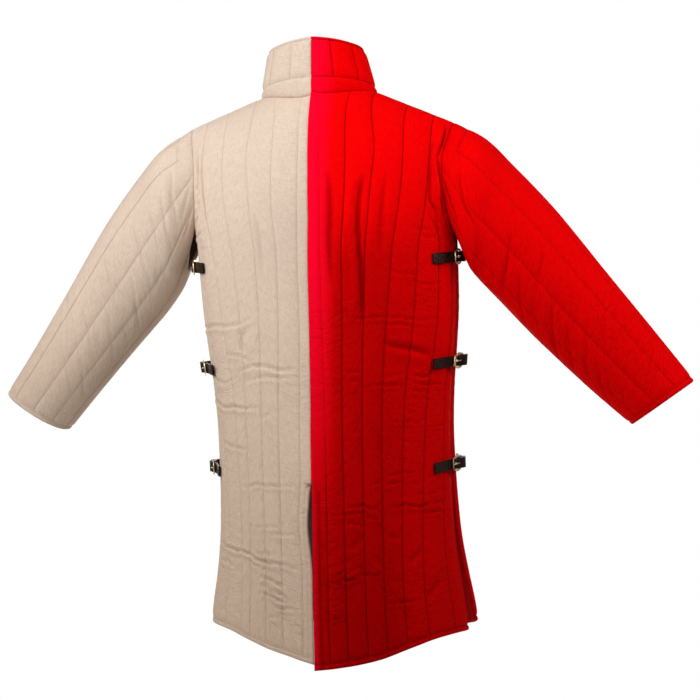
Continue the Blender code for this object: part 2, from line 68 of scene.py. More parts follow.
# two soft lights rake the coat from the sides, two stand above and before it, two light its far side
studio = {
    "leftSide": (0.5, -1.6, 0.9, 1.1, 13.0),       # toward the camera, to its right, up, size, watts
    "rightSide": (0.9, 1.7, 0.9, 1.1, 17.6),
    "above": (1.0, 0.0, 1.2, 1.1, 6.6),
    "front": (1.0, -0.7, 0.55, 0.8, 6.7),
    "farLeft": (-1.8, -0.55, 0.10, 1.1, 12.0),
    "farRight": (-1.8, 0.55, 0.10, 1.1, 12.0),
    "level": -0.45, "aim": -0.40,       # height that the lights are set from, and that they point at
    "world": 0.06,
    "mirrored": 0.32,       # how much of the white room gloss sees
    "floor": -1.45, "floorRadius": 1.3, "floorGlow": 0.38,
}


def makeLight(name):
    near, right, up, size, watts = studio[name]
    data = bpy.data.lights.new(name, "AREA")
    data.shape = "DISK"
    data.size = size
    data.energy = watts
    lamp = bpy.data.objects.new(name, data)
    lamp.location = towardCamera * near + cameraRight * right + Vector((0, 0, up + studio["level"]))
    aim = Vector((0, 0, studio["aim"])) - lamp.location
    lamp.rotation_euler = aim.to_track_quat("-Z", "Y").to_euler()
    lamp.visible_camera = False
    bpy.context.scene.collection.objects.link(lamp)


for lampName in ("leftSide", "rightSide", "above", "front", "farLeft", "farRight"):
    makeLight(lampName)

def makeWorld():
    # a dim white room lights the cloth, gloss sees a brighter one, and the camera sees plain white
    world = bpy.data.worlds.new("studio")
    world.use_nodes = True
    bpy.context.scene.world = world
    nodes, links = world.node_tree.nodes, world.node_tree.links
    dim = nodes["Background"]
    dim.inputs["Strength"].default_value = studio["world"]
    dim.inputs["Color"].default_value = (1.0, 0.985, 0.97, 1)
    white = nodes.new("ShaderNodeBackground")
    white.inputs["Color"].default_value = (1, 1, 1, 1)
    white.inputs["Strength"].default_value = 1.0
    seenBy = nodes.new("ShaderNodeLightPath")
    share = nodes.new("ShaderNodeMath")
    share.operation = "MULTIPLY_ADD"
    share.inputs[1].default_value = studio["mirrored"]
    either = nodes.new("ShaderNodeMixShader")
    for source, socket in ((seenBy.outputs["Is Glossy Ray"], share.inputs[0]),
                           (seenBy.outputs["Is Camera Ray"], share.inputs[2]),
                           (share.outputs[0], either.inputs["Fac"]),
                           (dim.outputs[0], either.inputs[1]),
                           (white.outputs[0], either.inputs[2]),
                           (either.outputs[0], nodes["World Output"].inputs["Surface"])):
        links.new(source, socket)
    bpy.context.scene.view_settings.view_transform = "Standard"


def makeFloor():
    mesh = bmesh.new()
    bmesh.ops.create_circle(mesh, cap_ends=True, segments=64, radius=studio["floorRadius"])
    bmesh.ops.translate(mesh, verts=mesh.verts, vec=(0, 0, studio["floor"]))
    data = bpy.data.meshes.new("floor")
    mesh.to_mesh(data)
    mesh.free()
    floor = bpy.data.objects.new("floor", data)
    paint = bpy.data.materials.new("pale_floor")
    paint.use_nodes = True
    shader = paint.node_tree.nodes["Principled BSDF"]
    shader.inputs["Base Color"].default_value = (0.86, 0.86, 0.85, 1)
    shader.inputs["Roughness"].default_value = 0.8
    shader.inputs["Emission Color"].default_value = (1, 1, 0.99, 1)
    # the floor looks pale without throwing light up at the coat
    glow = paint.node_tree.nodes.new("ShaderNodeMath")
    glow.operation = "MULTIPLY"
    glow.inputs[1].default_value = studio["floorGlow"]
    seenBy = paint.node_tree.nodes.new("ShaderNodeLightPath")
    paint.node_tree.links.new(seenBy.outputs["Is Camera Ray"], glow.inputs[0])
    paint.node_tree.links.new(glow.outputs[0], shader.inputs["Emission Strength"])
    data.materials.append(paint)
    bpy.context.scene.collection.objects.link(floor)


makeWorld()
makeFloor()
print("camera and studio ready")

# the drawn coat: the same rings and lines that its solids follow, metres
coat = {
    "seam": 0.0003, "middle": 0.020, "armpit": -0.262, "sideGap": 0.0030,
    "neckX": {"left": 0.110, "right": 0.100},
    "neckDepth": {"back": 0.077, "front": 0.080},
    "shoulderFall": {"left": 0.35, "right": 0.45},
    "rounding": {"back": (0.270, 2.2), "front": (0.300, 1.5)},
    "neckPower": 1.6, "sleevePower": 2.2,
    "neckSlit": 0.45, "collarOpen": 0.006, "collarPeak": 0.0058,
    "armSteps": 15, "sewnSteps": 13, "neckSteps": 7,
    "rowPower": 1.4,        # rows stand closer together near the shoulder
    "edgeStrip": 0.0095,    # from the last column inside to the side edge
    "flareFrom": (1.45, 0.55),      # row and share of the width where the foot of a side edge begins to swing
    "hemRows": (1.08, 1.17, 1.27, 1.37, 1.47, 1.57, 1.67, 1.77, 1.87, 1.945, 1.986, 2.0),
    "sideFoot": -0.925,
    "seamStrip": {"left": 1.45, "right": 1.62},     # the first line stands this much further from the seam
}
# body rings: height, half width, depth behind the middle, depth before it, power of the oval
bodyRings = (
    (0.060, 0.266, 0.124, 0.140, 2.40),
    (-0.100, 0.258, 0.128, 0.150, 2.40),
    (-0.200, 0.236, 0.131, 0.154, 2.40),
    (-0.262, 0.2275, 0.133, 0.154, 2.40),
    (-0.355, 0.2240, 0.138, 0.152, 2.40),
    (-0.450, 0.2150, 0.147, 0.148, 2.35),
    (-0.530, 0.2065, 0.154, 0.150, 2.30),
    (-0.620, 0.2035, 0.162, 0.156, 2.30),
    (-0.740, 0.2055, 0.168, 0.166, 2.30),
    (-0.810, 0.2120, 0.170, 0.172, 2.30),
    (-0.880, 0.2235, 0.171, 0.176, 2.30),
    (-0.970, 0.2330, 0.172, 0.180, 2.30),
)
# quilting lines: row (0 shoulder, 1 armpit, 2 hem), then seven lines and the edge from the centre
quiltLines = (
    (0.00, 0.0125, 0.063, 0.100, 0.158, 0.205, 0.218, 0.230, 0.243),
    (0.35, 0.0125, 0.064, 0.112, 0.160, 0.205, 0.211, 0.219, 0.228),
    (0.65, 0.0130, 0.064, 0.107, 0.157, 0.202, 0.213, 0.225, 0.237),
    (0.85, 0.0130, 0.061, 0.102, 0.150, 0.196, 0.222, 0.245, 0.262),
    (1.00, 0.0130, 0.057, 0.097, 0.143, 0.189, 0.230, 0.265, 0.295),
    (1.22, 0.0130, 0.052, 0.087, 0.125, 0.173, 0.223, 0.268, 0.300),
    (1.40, 0.0145, 0.050, 0.083, 0.117, 0.158, 0.205, 0.260, 0.302),
    (1.85, 0.0140, 0.049, 0.080, 0.111, 0.143, 0.182, 0.240, 0.308),
    (2.00, 0.0150, 0.050, 0.082, 0.114, 0.147, 0.187, 0.247, 0.315),
)
widerBelow = {"left": 0.012, "right": 0.0}      # lines two to four stand this much further out
hemLine = {     # share of the way from centre to side, height
    "back_left": (
        (0.0, -0.959), (0.10, -0.951), (0.27, -0.936), (0.40, -0.922),
        (0.55, -0.909), (0.75, -0.906), (1.0, -0.912),
    ),
    "back_right": (
        (0.0, -0.969), (0.10, -0.965), (0.31, -0.952), (0.47, -0.936),
        (0.62, -0.925), (0.80, -0.925), (1.0, -0.935),
    ),
    "front_left": ((0.0, -0.950), (0.50, -0.932), (1.0, -0.908)),
    "front_right": ((0.0, -0.954), (0.50, -0.940), (1.0, -0.920)),
}
sway = (        # sideways hang of the coat: height, x
    (0.100, 0.0), (-0.200, 0.0), (-0.262, -0.001), (-0.360, -0.004),
    (-0.450, -0.006), (-0.600, -0.0075), (-0.750, -0.009), (-0.980, -0.009),
)
seamSway = (    # the back seam wanders by itself: height, x, fading to none at its reach on each side
    (-0.220, 0.0), (-0.300, 0.0040), (-0.380, 0.0055), (-0.550, 0.0060),
    (-0.700, 0.0065), (-0.850, 0.0085), (-0.980, 0.0095),
)
seamReach = 0.055
slitGap = {     # how far each edge of the centre slit stands off: row, metres
    "back_left": (
        (1.572, 0.0), (1.585, 0.0032), (1.615, 0.0070), (1.66, 0.0068),
        (1.70, 0.0042), (1.745, 0.0012), (1.80, 0.0), (2.0, 0.0),
    ),
    "back_right": ((1.585, 0.0), (1.61, 0.0002), (1.70, 0.0001), (2.0, 0.0)),
    "front_left": ((1.63, 0.0), (1.80, 0.0016), (2.0, 0.0030)),
    "front_right": ((1.63, 0.0), (1.80, 0.0012), (2.0, 0.0026)),
}
flare = {       # how far the foot of a side edge swings out, and lifts, metres
    "back_left": (0.0, 0.0), "back_right": (-0.0060, 0.0080),
    "front_left": (0.0, 0.0), "front_right": (0.0095, 0.0100),
}


def between(rows, place):
    # smooth value of a table at a place
    last = len(rows) - 1
    down = rows[0][0] > rows[last][0]
    for i in range(last):
        if (place >= rows[i + 1][0]) if down else (place <= rows[i + 1][0]):
            break
    a, b, c, d = rows[max(i - 1, 0)], rows[i], rows[i + 1], rows[min(i + 2, last)]
    t = min(max((place - b[0]) / (c[0] - b[0]), 0.0), 1.0)
    out = []
    for k in range(1, len(b)):
        span = c[0] - b[0]
        m0 = (c[k] - a[k]) / (c[0] - a[0]) * span
        m1 = (d[k] - b[k]) / (d[0] - b[0]) * span
        out.append((2 * t**3 - 3 * t**2 + 1) * b[k] + (t**3 - 2 * t**2 + t) * m0
                   + (3 * t**2 - 2 * t**3) * c[k] + (t**3 - t**2) * m1)
    return out


def oval(halfWidth, depth, power, steps=72):
    out = []
    far = 0.0
    for i in range(steps + 1):
        turn = math.pi / 2 * i / steps
        x = halfWidth * math.sin(turn)**(2 / power)
        y = depth * max(math.cos(turn), 0.0)**(2 / power)
        if out:
            far += math.hypot(x - out[-1][1], y - out[-1][2])
        out.append((far, x, y))
    return np.array(out)


def along(quarter, arc):
    return (float(np.interp(arc, quarter[:, 0], quarter[:, 1])),
            float(np.interp(arc, quarter[:, 0], quarter[:, 2])))


rings = {}


def bodyRing(face, z):
    key = (face, round(z, 6))
    if key not in rings:
        halfWidth, behind, before, power = between(bodyRings, z)
        rings[key] = oval(halfWidth, behind if face == "back" else before, power)
    return rings[key]


def shoulderZ(side, x):
    return -coat["shoulderFall"][side] * (x - coat["neckX"][side])


def rounded(side, face, x, z):
    height, power = coat["rounding"][face]
    t = min(max((shoulderZ(side, x) - z) / height, 0.0), 1.0)
    return (1 - (1 - t)**power)**(1 / power)


def neckZ(side, face, x):
    height, power = coat["rounding"][face]
    neckPower = coat["neckPower"]
    top = shoulderZ(side, x)
    want = coat["neckDepth"][face] * max(1 - (x / coat["neckX"][side])**neckPower, 0.0)**(1 / neckPower)
    z = top
    for _ in range(6):
        halfWidth, behind, before, ovalPower = between(bodyRings, z)
        depth = (behind if face == "back" else before) * (1 - (x / halfWidth)**ovalPower)**(1 / ovalPower)
        share = min(want / depth, 1.0)
        z = top - height * (1 - (1 - share**power)**(1 / power))
    return z


def hemZ(side, face, arc):
    return between(hemLine[face + "_" + side], arc / bodyRing(face, coat["sideFoot"])[-1][0])[0]


def drawn(side, face, arc, row):
    if row < 1:
        z = 0.0
        for _ in range(4):
            x = along(bodyRing(face, z), arc)[0]
            z = neckZ(side, face, x) if x < coat["neckX"][side] - 1e-3 else shoulderZ(side, x)
        z += (coat["armpit"] - z) * row
    else:
        z = coat["armpit"] + (hemZ(side, face, arc) - coat["armpit"]) * (row - 1)
    x, y = along(bodyRing(face, z), arc)
    y *= rounded(side, face, x, z)
    return [x, coat["middle"] + (y if face == "back" else -y), z]


cuts = (1, 3, 3, 3, 3, 3, 3, 3)     # coarse steps in each channel


def places(side, row):
    marks = [0.0] + between(quiltLines, row)
    marks[1] *= coat["seamStrip"][side]
    shift = (coat["neckX"][side] - marks[3]) * max(1 - row / 0.5, 0.0)**2
    marks[2] += shift * 0.7
    marks[3] += shift
    marks[4] += shift * 0.5
    for k in (2, 3, 4):
        marks[k] += widerBelow[side] * min(max(row - 1, 0.0) / 0.4, 1.0)
    out = [0.0]
    for k in range(8):
        a, b = marks[k], marks[k + 1]
        for i in range(1, cuts[k] + 1):
            share = i / cuts[k]
            if k == 7 and i == 2:
                share = 1 - min(coat["edgeStrip"] / (b - a), 0.4)
            out.append(a + (b - a) * share)
    return out


panelRows = [(i / coat["armSteps"])**coat["rowPower"] for i in range(coat["armSteps"] + 1)]
panelRows += coat["hemRows"]


def panelGrid(side, face):
    grid = []
    for row in panelRows:
        arcs = places(side, row)
        foot = hemLine[face + "_" + side][-1][1]
        z = coat["armpit"] if row < 1 else coat["armpit"] + (foot - coat["armpit"]) * (row - 1)
        scale = (bodyRing(face, z)[-1][0] - coat["sideGap"]) / places(side, max(row, 1.0))[-1]
        scale = 1 + (scale - 1) * min(row, 1.0)**2
        arcs = [a * (1 + (scale - 1) * (a / arcs[-1])) for a in arcs]
        points = [drawn(side, face, a, row) for a in arcs]
        out, lift = flare[face + "_" + side]
        fromRow, fromShare = coat["flareFrom"]
        swing = max((row - fromRow) / (2 - fromRow), 0.0)**1.4
        for p, a in zip(points, arcs):
            share = swing * (max(a / arcs[-1] - fromShare, 0.0) / (1 - fromShare))**1.5
            p[0] += out * share
            p[2] += lift * share
        points[0][0] = coat["seam"] / 2
        wide = between(slitGap[face + "_" + side], row)[0] if row > 1.5 else 0.0
        if face == "front":
            wide = max(wide, coat["collarOpen"] * max(1 - row / coat["neckSlit"], 0.0))
        for k in range(4):
            points[k][0] += wide * (1 - k / 4)
        if row == 0:
            for p in points[coat["neckSteps"]:]:
                p[1] = coat["middle"] + (coat["seam"] / 2 if face == "back" else -coat["seam"] / 2)
                p[2] = shoulderZ(side, p[0])
        grid.append(points)
    return np.array(grid)


def unit(a):
    return a / np.maximum(np.linalg.norm(a, axis=-1, keepdims=True), 1e-12)


def facing(grid, way, loop=False):
    up = np.concatenate([grid[:1], grid[:-1]])
    down = np.concatenate([grid[1:], grid[-1:]])
    if loop:
        a, b = np.roll(grid, 1, 1), np.roll(grid, -1, 1)
    else:
        a = np.concatenate([grid[:, :1], grid[:, :-1]], 1)
        b = np.concatenate([grid[:, 1:], grid[:, -1:]], 1)
    return unit(np.cross(b - a, down - up)) * way


def away(points, j, n, toward, loop=False):
    m = len(points)
    a = points[(j - 1) % m] if loop else points[max(j - 1, 0)]
    b = points[(j + 1) % m] if loop else points[min(j + 1, m - 1)]
    v = unit(np.cross(n, b - a))
    return v if v @ toward > 0 else -v


sleeveRings = {     # row, top x z, under x z, half depth, middle y
    "left": (
        (0.10, 0.284, -0.073, 0.260, -0.304, 0.080, 0.016),
        (0.24, 0.327, -0.111, 0.272, -0.325, 0.079, 0.008),
        (0.42, 0.404, -0.200, 0.306, -0.366, 0.075, -0.002),
        (0.62, 0.487, -0.319, 0.371, -0.430, 0.069, -0.012),
        (0.82, 0.571, -0.436, 0.452, -0.512, 0.063, -0.024),
        (1.00, 0.622, -0.501, 0.512, -0.575, 0.059, -0.034),
    ),
    "right": (
        (0.10, 0.283, -0.089, 0.2505, -0.307, 0.080, 0.018),
        (0.24, 0.322, -0.129, 0.2650, -0.328, 0.078, 0.012),
        (0.42, 0.397, -0.214, 0.300, -0.368, 0.073, 0.002),
        (0.62, 0.475, -0.318, 0.357, -0.432, 0.067, -0.010),
        (0.82, 0.557, -0.427, 0.442, -0.518, 0.060, -0.023),
        (1.00, 0.620, -0.512, 0.514, -0.585, 0.055, -0.034),
    ),
}
sleeveRows = (0.0, 0.05, 0.10, 0.17, 0.24, 0.33, 0.42, 0.52, 0.62, 0.72, 0.82, 0.92, 0.984, 1.0)
underarm = {"left": (0.250, -0.296), "right": (0.2475, -0.296)}
collarRings = (     # row, half width left and right, depth behind and before, height behind and before
    (0.30, 0.1040, 0.0940, 0.0735, 0.0780, 0.022, 0.000),
    (0.60, 0.0985, 0.0870, 0.0705, 0.0740, 0.050, 0.032),
    (1.00, 0.0915, 0.0765, 0.0660, 0.0690, 0.088, 0.070),
)
collarRows = (0.0, 0.15, 0.30, 0.45, 0.60, 0.75, 0.90, 1.0)


def sleeveGrid(side, heads):
    steps, sewn = coat["armSteps"], coat["sewnSteps"]
    count = 2 * steps
    first = [np.array(p) for p in heads]
    low = underarm[side]
    step = np.array((low[0] - heads[steps][0], 0.0, low[1] - heads[steps][2]))
    for j in range(count):
        off = steps - abs(steps - j)
        if off > sewn:
            first[j] = first[j] + step * (off - sewn) / (steps - sewn)
    columns = []
    for j in range(count):
        turn = math.pi * j / steps
        c, s = math.cos(turn), math.sin(turn)
        c = math.copysign(abs(c)**(2 / coat["sleevePower"]), c)
        s = math.copysign(abs(s)**(2 / coat["sleevePower"]), s)
        table = [(0.0,) + tuple(first[j])]
        for row, ux, uz, lx, lz, half, y in sleeveRings[side]:
            table.append((row, (ux + lx) / 2 + (ux - lx) / 2 * c, y + half * s,
                          (uz + lz) / 2 + (uz - lz) / 2 * c))
        columns.append([between(table, row) for row in sleeveRows])
    return np.swapaxes(np.array(columns), 0, 1)


def collarGrid(side, base):
    columns = []
    count = len(base)
    half = (count - 1) // 2
    for j in range(count):
        table = [(0.0,) + tuple(base[j])]
        for row, wideLeft, wideRight, behind, before, zBack, zFront in collarRings:
            back = j <= half
            quarter = oval(wideLeft if side == "left" else wideRight, behind if back else before, 2.0)
            x, y = along(quarter, quarter[-1][0] * (j if back else count - 1 - j) / half)
            y = y if back else -y
            z = zBack + (zFront - zBack) * (behind - y) / (behind + before)
            z += coat["collarPeak"] * row * max(1 - j / 4.5, 0.0)
            if j == 0:
                x = coat["seam"] / 2
            if j == count - 1:
                x = coat["collarOpen"]
            table.append((row, x, coat["middle"] + y, z))
        columns.append([between(table, row) for row in collarRows])
    return np.swapaxes(np.array(columns), 0, 1)


def drawHalf(side):
    # coarse surfaces of one half on +X, with the directions their walls are pushed in
    steps, sewn, neck = coat["armSteps"], coat["sewnSteps"], coat["neckSteps"]
    panels = {face: panelGrid(side, face) for face in ("back", "front")}
    pushes = {face: facing(panels[face], 1 if face == "back" else -1) for face in panels}
    for push in pushes.values():
        push[:, 0, 0] = 0
        push[steps + 1:, -1, 1] = 0
        push[0, neck:] = (coat["shoulderFall"][side], 0, 1)
        push[:] = unit(push)
    order = [("back", i) for i in range(steps + 1)] + [("front", i) for i in range(steps - 1, 0, -1)]
    heads = np.array([panels[face][i, -1] for face, i in order])
    heads[0, 1] = heads[steps, 1] = coat["middle"]
    arm = sleeveGrid(side, heads)
    armPush = facing(arm, 1, loop=True)
    if armPush[5, 0] @ (arm[5, 0] - arm[5].mean(axis=0)) < 0:
        armPush = -armPush
    for j, (face, i) in enumerate(order):
        if i > sewn:
            continue
        n = unit(pushes[face][i, -1] + armPush[0, j])
        if i == 0:
            n = unit(np.array((n[0], 0.0, n[2])))
            pushes["front"][0, -1] = n
        pushes[face][i, -1] = n
        armPush[0, j] = n
        arm[0, j] += away(heads, j, n, arm[3, j] - heads[j], loop=True) * coat["seam"]
    ring = [("back", j) for j in range(neck + 1)] + [("front", j) for j in range(neck - 1, -1, -1)]
    base = np.array([panels[face][0, j] for face, j in ring])
    base[neck, 1] = coat["middle"]
    neckband = collarGrid(side, base)
    neckPush = facing(neckband, 1)
    if neckPush[3, neck, 0] < 0:
        neckPush = -neckPush
    neckPush[:, 0, 0] = neckPush[:, -1, 0] = 0
    neckPush = unit(neckPush)
    for k, (face, j) in enumerate(ring):
        n = unit(pushes[face][0, j] + neckPush[0, k])
        if j == neck:
            n = unit(np.array((n[0], 0.0, n[2])))
            pushes["front"][0, j] = n
        if j == 0:
            n = unit(np.array((0.0, n[1], n[2])))
        pushes[face][0, j] = n
        neckPush[0, k] = n
        up = away(base, k, n, np.array((0.0, 0.0, 1.0)))
        if j == 0:
            up[0] = 0
            up = unit(up)
        neckband[0, k] = base[k] + up * coat["seam"]
    return {
        "back": (panels["back"], pushes["back"]),
        "front": (panels["front"], pushes["front"]),
        "sleeve": (arm, armPush),
        "collar": (neckband, neckPush),
    }


# finer grids: smooth curves through the coarse points
def gapsOf(grid):
    return np.maximum(np.linalg.norm(np.diff(grid, axis=1), axis=2), 1e-5)[..., None]


def spread(grid, gaps, marks):
    slopes = np.diff(grid, axis=1) / gaps
    inner = (slopes[:, :-1] * gaps[:, 1:] + slopes[:, 1:] * gaps[:, :-1]) / (gaps[:, :-1] + gaps[:, 1:])
    slopes = np.concatenate([slopes[:, :1], inner, slopes[:, -1:]], 1)
    k = np.minimum(marks.astype(int), grid.shape[1] - 2)
    t = (marks - k)[None, :, None]
    a, b, h = grid[:, k], grid[:, k + 1], gaps[:, k]
    return ((2 * t**3 - 3 * t**2 + 1) * a + (t**3 - 2 * t**2 + t) * h * slopes[:, k]
            + (3 * t**2 - 2 * t**3) * b + (t**3 - t**2) * h * slopes[:, k + 1])


def finer(grid, push, rowMarks, columnMarks, loop=False):
    if loop:
        grid, push = [np.concatenate([a[:, -2:], a, a[:, :3]], 1) for a in (grid, push)]
        columnMarks = columnMarks % (grid.shape[1] - 5) + 2
    gaps = gapsOf(grid)
    tall = [np.swapaxes(spread(a, gaps, columnMarks), 0, 1) for a in (grid, push)]
    gaps = gapsOf(tall[0])
    base, push = [np.swapaxes(spread(a, gaps, rowMarks), 0, 1) for a in tall]
    return base, unit(push)


def stepped(borders, counts, ease=0.55):
    # marks from border to border, closer together near each border
    out = []
    for a, b, count in zip(borders, borders[1:], counts):
        t = np.arange(count) / count
        out += list(a + (b - a) * (t - ease * np.sin(2 * math.pi * t) / (2 * math.pi)))
    return np.array(out + [borders[-1]])


def rowMarksOf(grid, column, step=0.0037, edgeSteps=6):
    # marks down a coarse grid, about one step apart
    far = np.linalg.norm(np.diff(grid[:, column], axis=0), axis=1)
    counts = [max(1, round(f / step)) for f in far]
    out = []
    for i, count in enumerate(counts[:-1]):
        out += [i + k / count for k in range(count)]
    last = len(counts) - 1
    return np.array(out + [last + (1 - (1 - k / edgeSteps)**1.5) for k in range(edgeSteps + 1)])


def travelled(base, axis):
    # metres along the cloth, across (axis 1) or down (axis 0)
    far = np.linalg.norm(np.diff(base, axis=axis), axis=2)
    zero = np.zeros_like(np.take(far, [0], axis=axis))
    return np.concatenate([zero, np.cumsum(far, axis=axis)], axis=axis)


quilt = {
    "groove": -0.0014, "crown": 0.0016, "inside": -0.0075,      # from the drawn surface, metres
    "pinch": {"left": 0.0005, "right": 0.0008}, "pinchWidth": 0.0013,
    "fullPuff": 0.030, "power": 3.4,        # width at which a channel is full, and how square it is
    "roll": 0.0046, "rollPuff": 0.55,       # how far a free edge rolls over, and how full it is
    "seamFade": 0.010, "shoulderFade": 0.070, "lineFade": 0.012,        # where channels flatten
    "stitchStep": 0.0036, "stitchShare": 0.62, "stitchHalf": 0.00034,
}
spine = {       # hollow along the back seam: depth, width, and heights between which it comes and goes
    "depth": 0.0060, "width": {"left": 0.070, "right": 0.044},
    "above": (-0.05, -0.14), "below": (-0.66, -0.54),
}


def bump(distance, width):
    return np.exp(-(distance / width)**2)


def climb(distance, width, power=2.2):
    # 0 at a seam, 1 a width away from it
    return 1 - (1 - np.clip(distance / width, 0, 1))**power


def fade(value, start, end):
    # 0 at the start and before it, 1 at the end and past it
    return np.clip((value - start) / (end - start), 0, 1)


def eased(share):
    return share * share * (3 - 2 * share)


def nearest(first, *others):
    for other in others:
        first = np.minimum(first, other)
    return first


def channelPuff(share, width):
    # how full a channel is, by the share of the way across it
    return (1 - np.abs(2 * share - 1)**quilt["power"]) * np.minimum(width / quilt["fullPuff"], 1.0)


def rolledHem(toStitch, wide):
    # how full a hem is beyond its line of stitching
    return quilt["rollPuff"] * (1 - (1 - np.clip(-toStitch / wide, 0, 1))**3)


def holding(near, least, wide, border, reach):
    # how much of a crease is left: less on a line of stitching, none at a border
    return (least + (1 - least) * (1 - bump(near, wide))) * climb(border, reach)


creaseSize = {
    "depth": {"left": 0.00132, "right": 0.00124},       # metres for each millimetre in the lists of creases
    "width": 0.00060, "wideWidth": 0.00100, "wideFrom": 4.9,        # the same for width, by the listed width
    "back": 1.0, "front": 0.68,
    "lower": 0.30, "lowerFrom": -0.55, "lowerOver": 0.25,       # those below a height are this share deeper
    "rollBelow": (0.55, 1.8), "rollAbove": (0.28, 1.8), "rollAway": 2.1,    # by the trough's depth and width
}


class Sheet:
    # one quilted piece: fine points, directions, metres across and down, and its relief
    def __init__(self, side, grid, push, rowMarks, columnMarks, loop=False):
        self.side, self.loop = side, loop
        self.base, self.push = finer(grid, push, rowMarks, columnMarks, loop)
        self.across = travelled(self.base, 1)
        self.down = travelled(self.base, 0)
        self.relief = np.zeros(self.across.shape)
        self.sink = np.zeros(self.across.shape)
        self.fullness = 1.0     # how far its channels stand up
        self.marked = 1.0       # how much its lines of stitching show
        self.hidden = np.zeros(self.across.shape)      # where an edge stands in the dark of a slit
        self.insideShade = self.hidden        # painted shade: where the inside is darker than the outside

    def channels(self, starts, evenPuff=False):
        # puffed cloth between lines of stitching, and how far each point is from a line
        puff = np.zeros_like(self.across)
        near = np.full_like(self.across, 1.0)
        for a, b in zip(starts, starts[1:]):
            inside = slice(a, b + 1)
            left, right = self.across[:, a:a + 1], self.across[:, b:b + 1]
            t = (self.across[:, inside] - left) / np.maximum(right - left, 1e-6)
            width = quilt["fullPuff"] if evenPuff else right - left
            toLine = np.minimum(self.across[:, inside] - left, right - self.across[:, inside])
            puff[:, inside] = np.maximum(puff[:, inside], channelPuff(t, width))
            near[:, inside] = np.minimum(near[:, inside], toLine)
        return puff, near

    def crease(self, depth, wide, points):
        # points: line number (2.5 is half way between two lines) and height in millimetres
        points = [(number, z / 1000) for number, z in points]
        low = min(max((creaseSize["lowerFrom"] - points[0][1]) / creaseSize["lowerOver"], 0.0), 1.0)
        depth *= creaseSize["depth"][self.side] * (1 + creaseSize["lower"] * low)
        wide *= creaseSize["width"] if wide < creaseSize["wideFrom"] else creaseSize["wideWidth"]
        spots = []
        for number, z in points:
            column = int(round(np.interp(number, self.number, np.arange(len(self.number)))))
            row = int(np.argmin(np.abs(self.base[:, column, 2] - z)))
            spots.append((float(self.across[row, column]), z))
        self.trough(depth, wide, spots, self.across, self.base[..., 2])

    def trough(self, depth, wide, spots, across, height, taper=0.6):
        # soft trough along a smooth line through the spots, with a roll of cloth on each side of it
        flat = abs(spots[-1][0] - spots[0][0]) >= abs(spots[-1][1] - spots[0][1])
        if not flat:
            spots = [(b, a) for a, b in spots]
            across, height = height, across
        spots = sorted(spots)
        xs = np.linspace(spots[0][0], spots[-1][0], 40)
        zs = np.array([between(spots, x)[0] if len(spots) > 2 else np.interp(x, *zip(*spots)) for x in xs])
        slope = np.gradient(zs, xs)
        centre = np.interp(across, xs, zs)
        lean = 1 / np.sqrt(1 + np.interp(across, xs, slope)**2)
        d = (height - centre) * lean
        t = (across - xs[0]) / (xs[-1] - xs[0])
        ends = np.clip(4 * t * (1 - t), 0, 1)**taper
        shape = -bump(d, wide)
        for roll, way in (("rollBelow", 1), ("rollAbove", -1)):
            high, broad = creaseSize[roll]
            shape += high * bump(d + way * creaseSize["rollAway"] * wide, broad * wide)
        self.relief += depth * ends * shape

    def pucker(self, column, row, way, reach, tilt, depth, wide):
        # short pull in the cloth that starts at a line of stitching and fades into the channel
        rows, columns = self.across.shape
        r0, r1 = max(row - 9, 0), min(row + 10, rows)
        span = int(reach / 0.0022) + 3
        c0, c1 = (column, column + span) if way > 0 else (column - span, column)
        if self.loop:
            index = np.arange(c0, c1 + 1) % (columns - 1)
        else:
            index = np.arange(max(c0, 0), min(c1, columns - 1) + 1)
        part = np.ix_(np.arange(r0, r1), index)
        far = self.across[part] - self.across[row, column % columns]
        if self.loop:
            around = self.across[row, -1]
            far = (far + around / 2) % around - around / 2
        far = far * way
        d = self.down[part] - self.down[row, column % columns] - far * tilt
        t = far / reach
        ends = np.where((t >= 0) & (t <= 1), np.clip(1 - t, 0, 1)**1.1 * np.clip(t * 6 + 0.35, 0, 1), 0)
        shape = -bump(d, wide) + 0.45 * (bump(d - 2.2 * wide, 1.7 * wide) + bump(d + 2.2 * wide, 1.7 * wide))
        self.relief[part] += depth * ends * shape


def puckers(sheet, columns, amount, seed, spacing=(0.009, 0.024)):
    # uneven little pulls along lines of stitching; amount(row, column) says how deep, in metres
    draw = random.Random(seed)
    rows = sheet.across.shape[0]
    for column in columns:
        for way in (-1, 1):
            at = draw.uniform(*spacing)
            length = sheet.down[-1, column % sheet.across.shape[1]]
            while at < length - 0.012:
                row = int(at / length * (rows - 1))
                depth = amount(row, column) * draw.uniform(0.35, 1.25)
                reach = draw.uniform(0.008, 0.020)
                tilt = draw.uniform(-0.55, 0.55)
                wide = draw.uniform(0.0020, 0.0038)
                if depth > 5e-5:
                    sheet.pucker(column, row, way, reach, tilt, depth, wide)
                at += draw.uniform(*spacing)


panelPlan = {
    "columns": (0, 1, 4, 7, 10, 13, 16, 19, 21, 22),        # coarse: seam, seven lines, side line and edge
    "steps": (6, 13, 13, 13, 13, 13, 12, 9, 7),         # fine steps between them
    "outerLines": (0.74, 0.94),     # rows over which the two outermost lines begin, below the armhole
    "hemStitch": 26, "hemWide": 0.0095,         # coarse row of the line above the hem, and the hem below it
    "slitTop": {"back": 1.585, "front": 1.63},
    "edging": (3, 1.58),        # column and first row of the stitching along the back slit
    "plainStrip": (1.56, 0.0012),       # above this row the red strip along the back seam is less pinched
    "insideShade": (0.003, 0.009, 0.86),      # painted shade: the inside darkens from here to here off an edge, by this much
    "inSlit": ((0.0035, 0.0007), (1.578, 1.590), (1.79, 1.69)),         # painted shade on the edge in the slit: off the seam, and rows
    "fullness": {"left": 0.52, "right": 0.90},
}


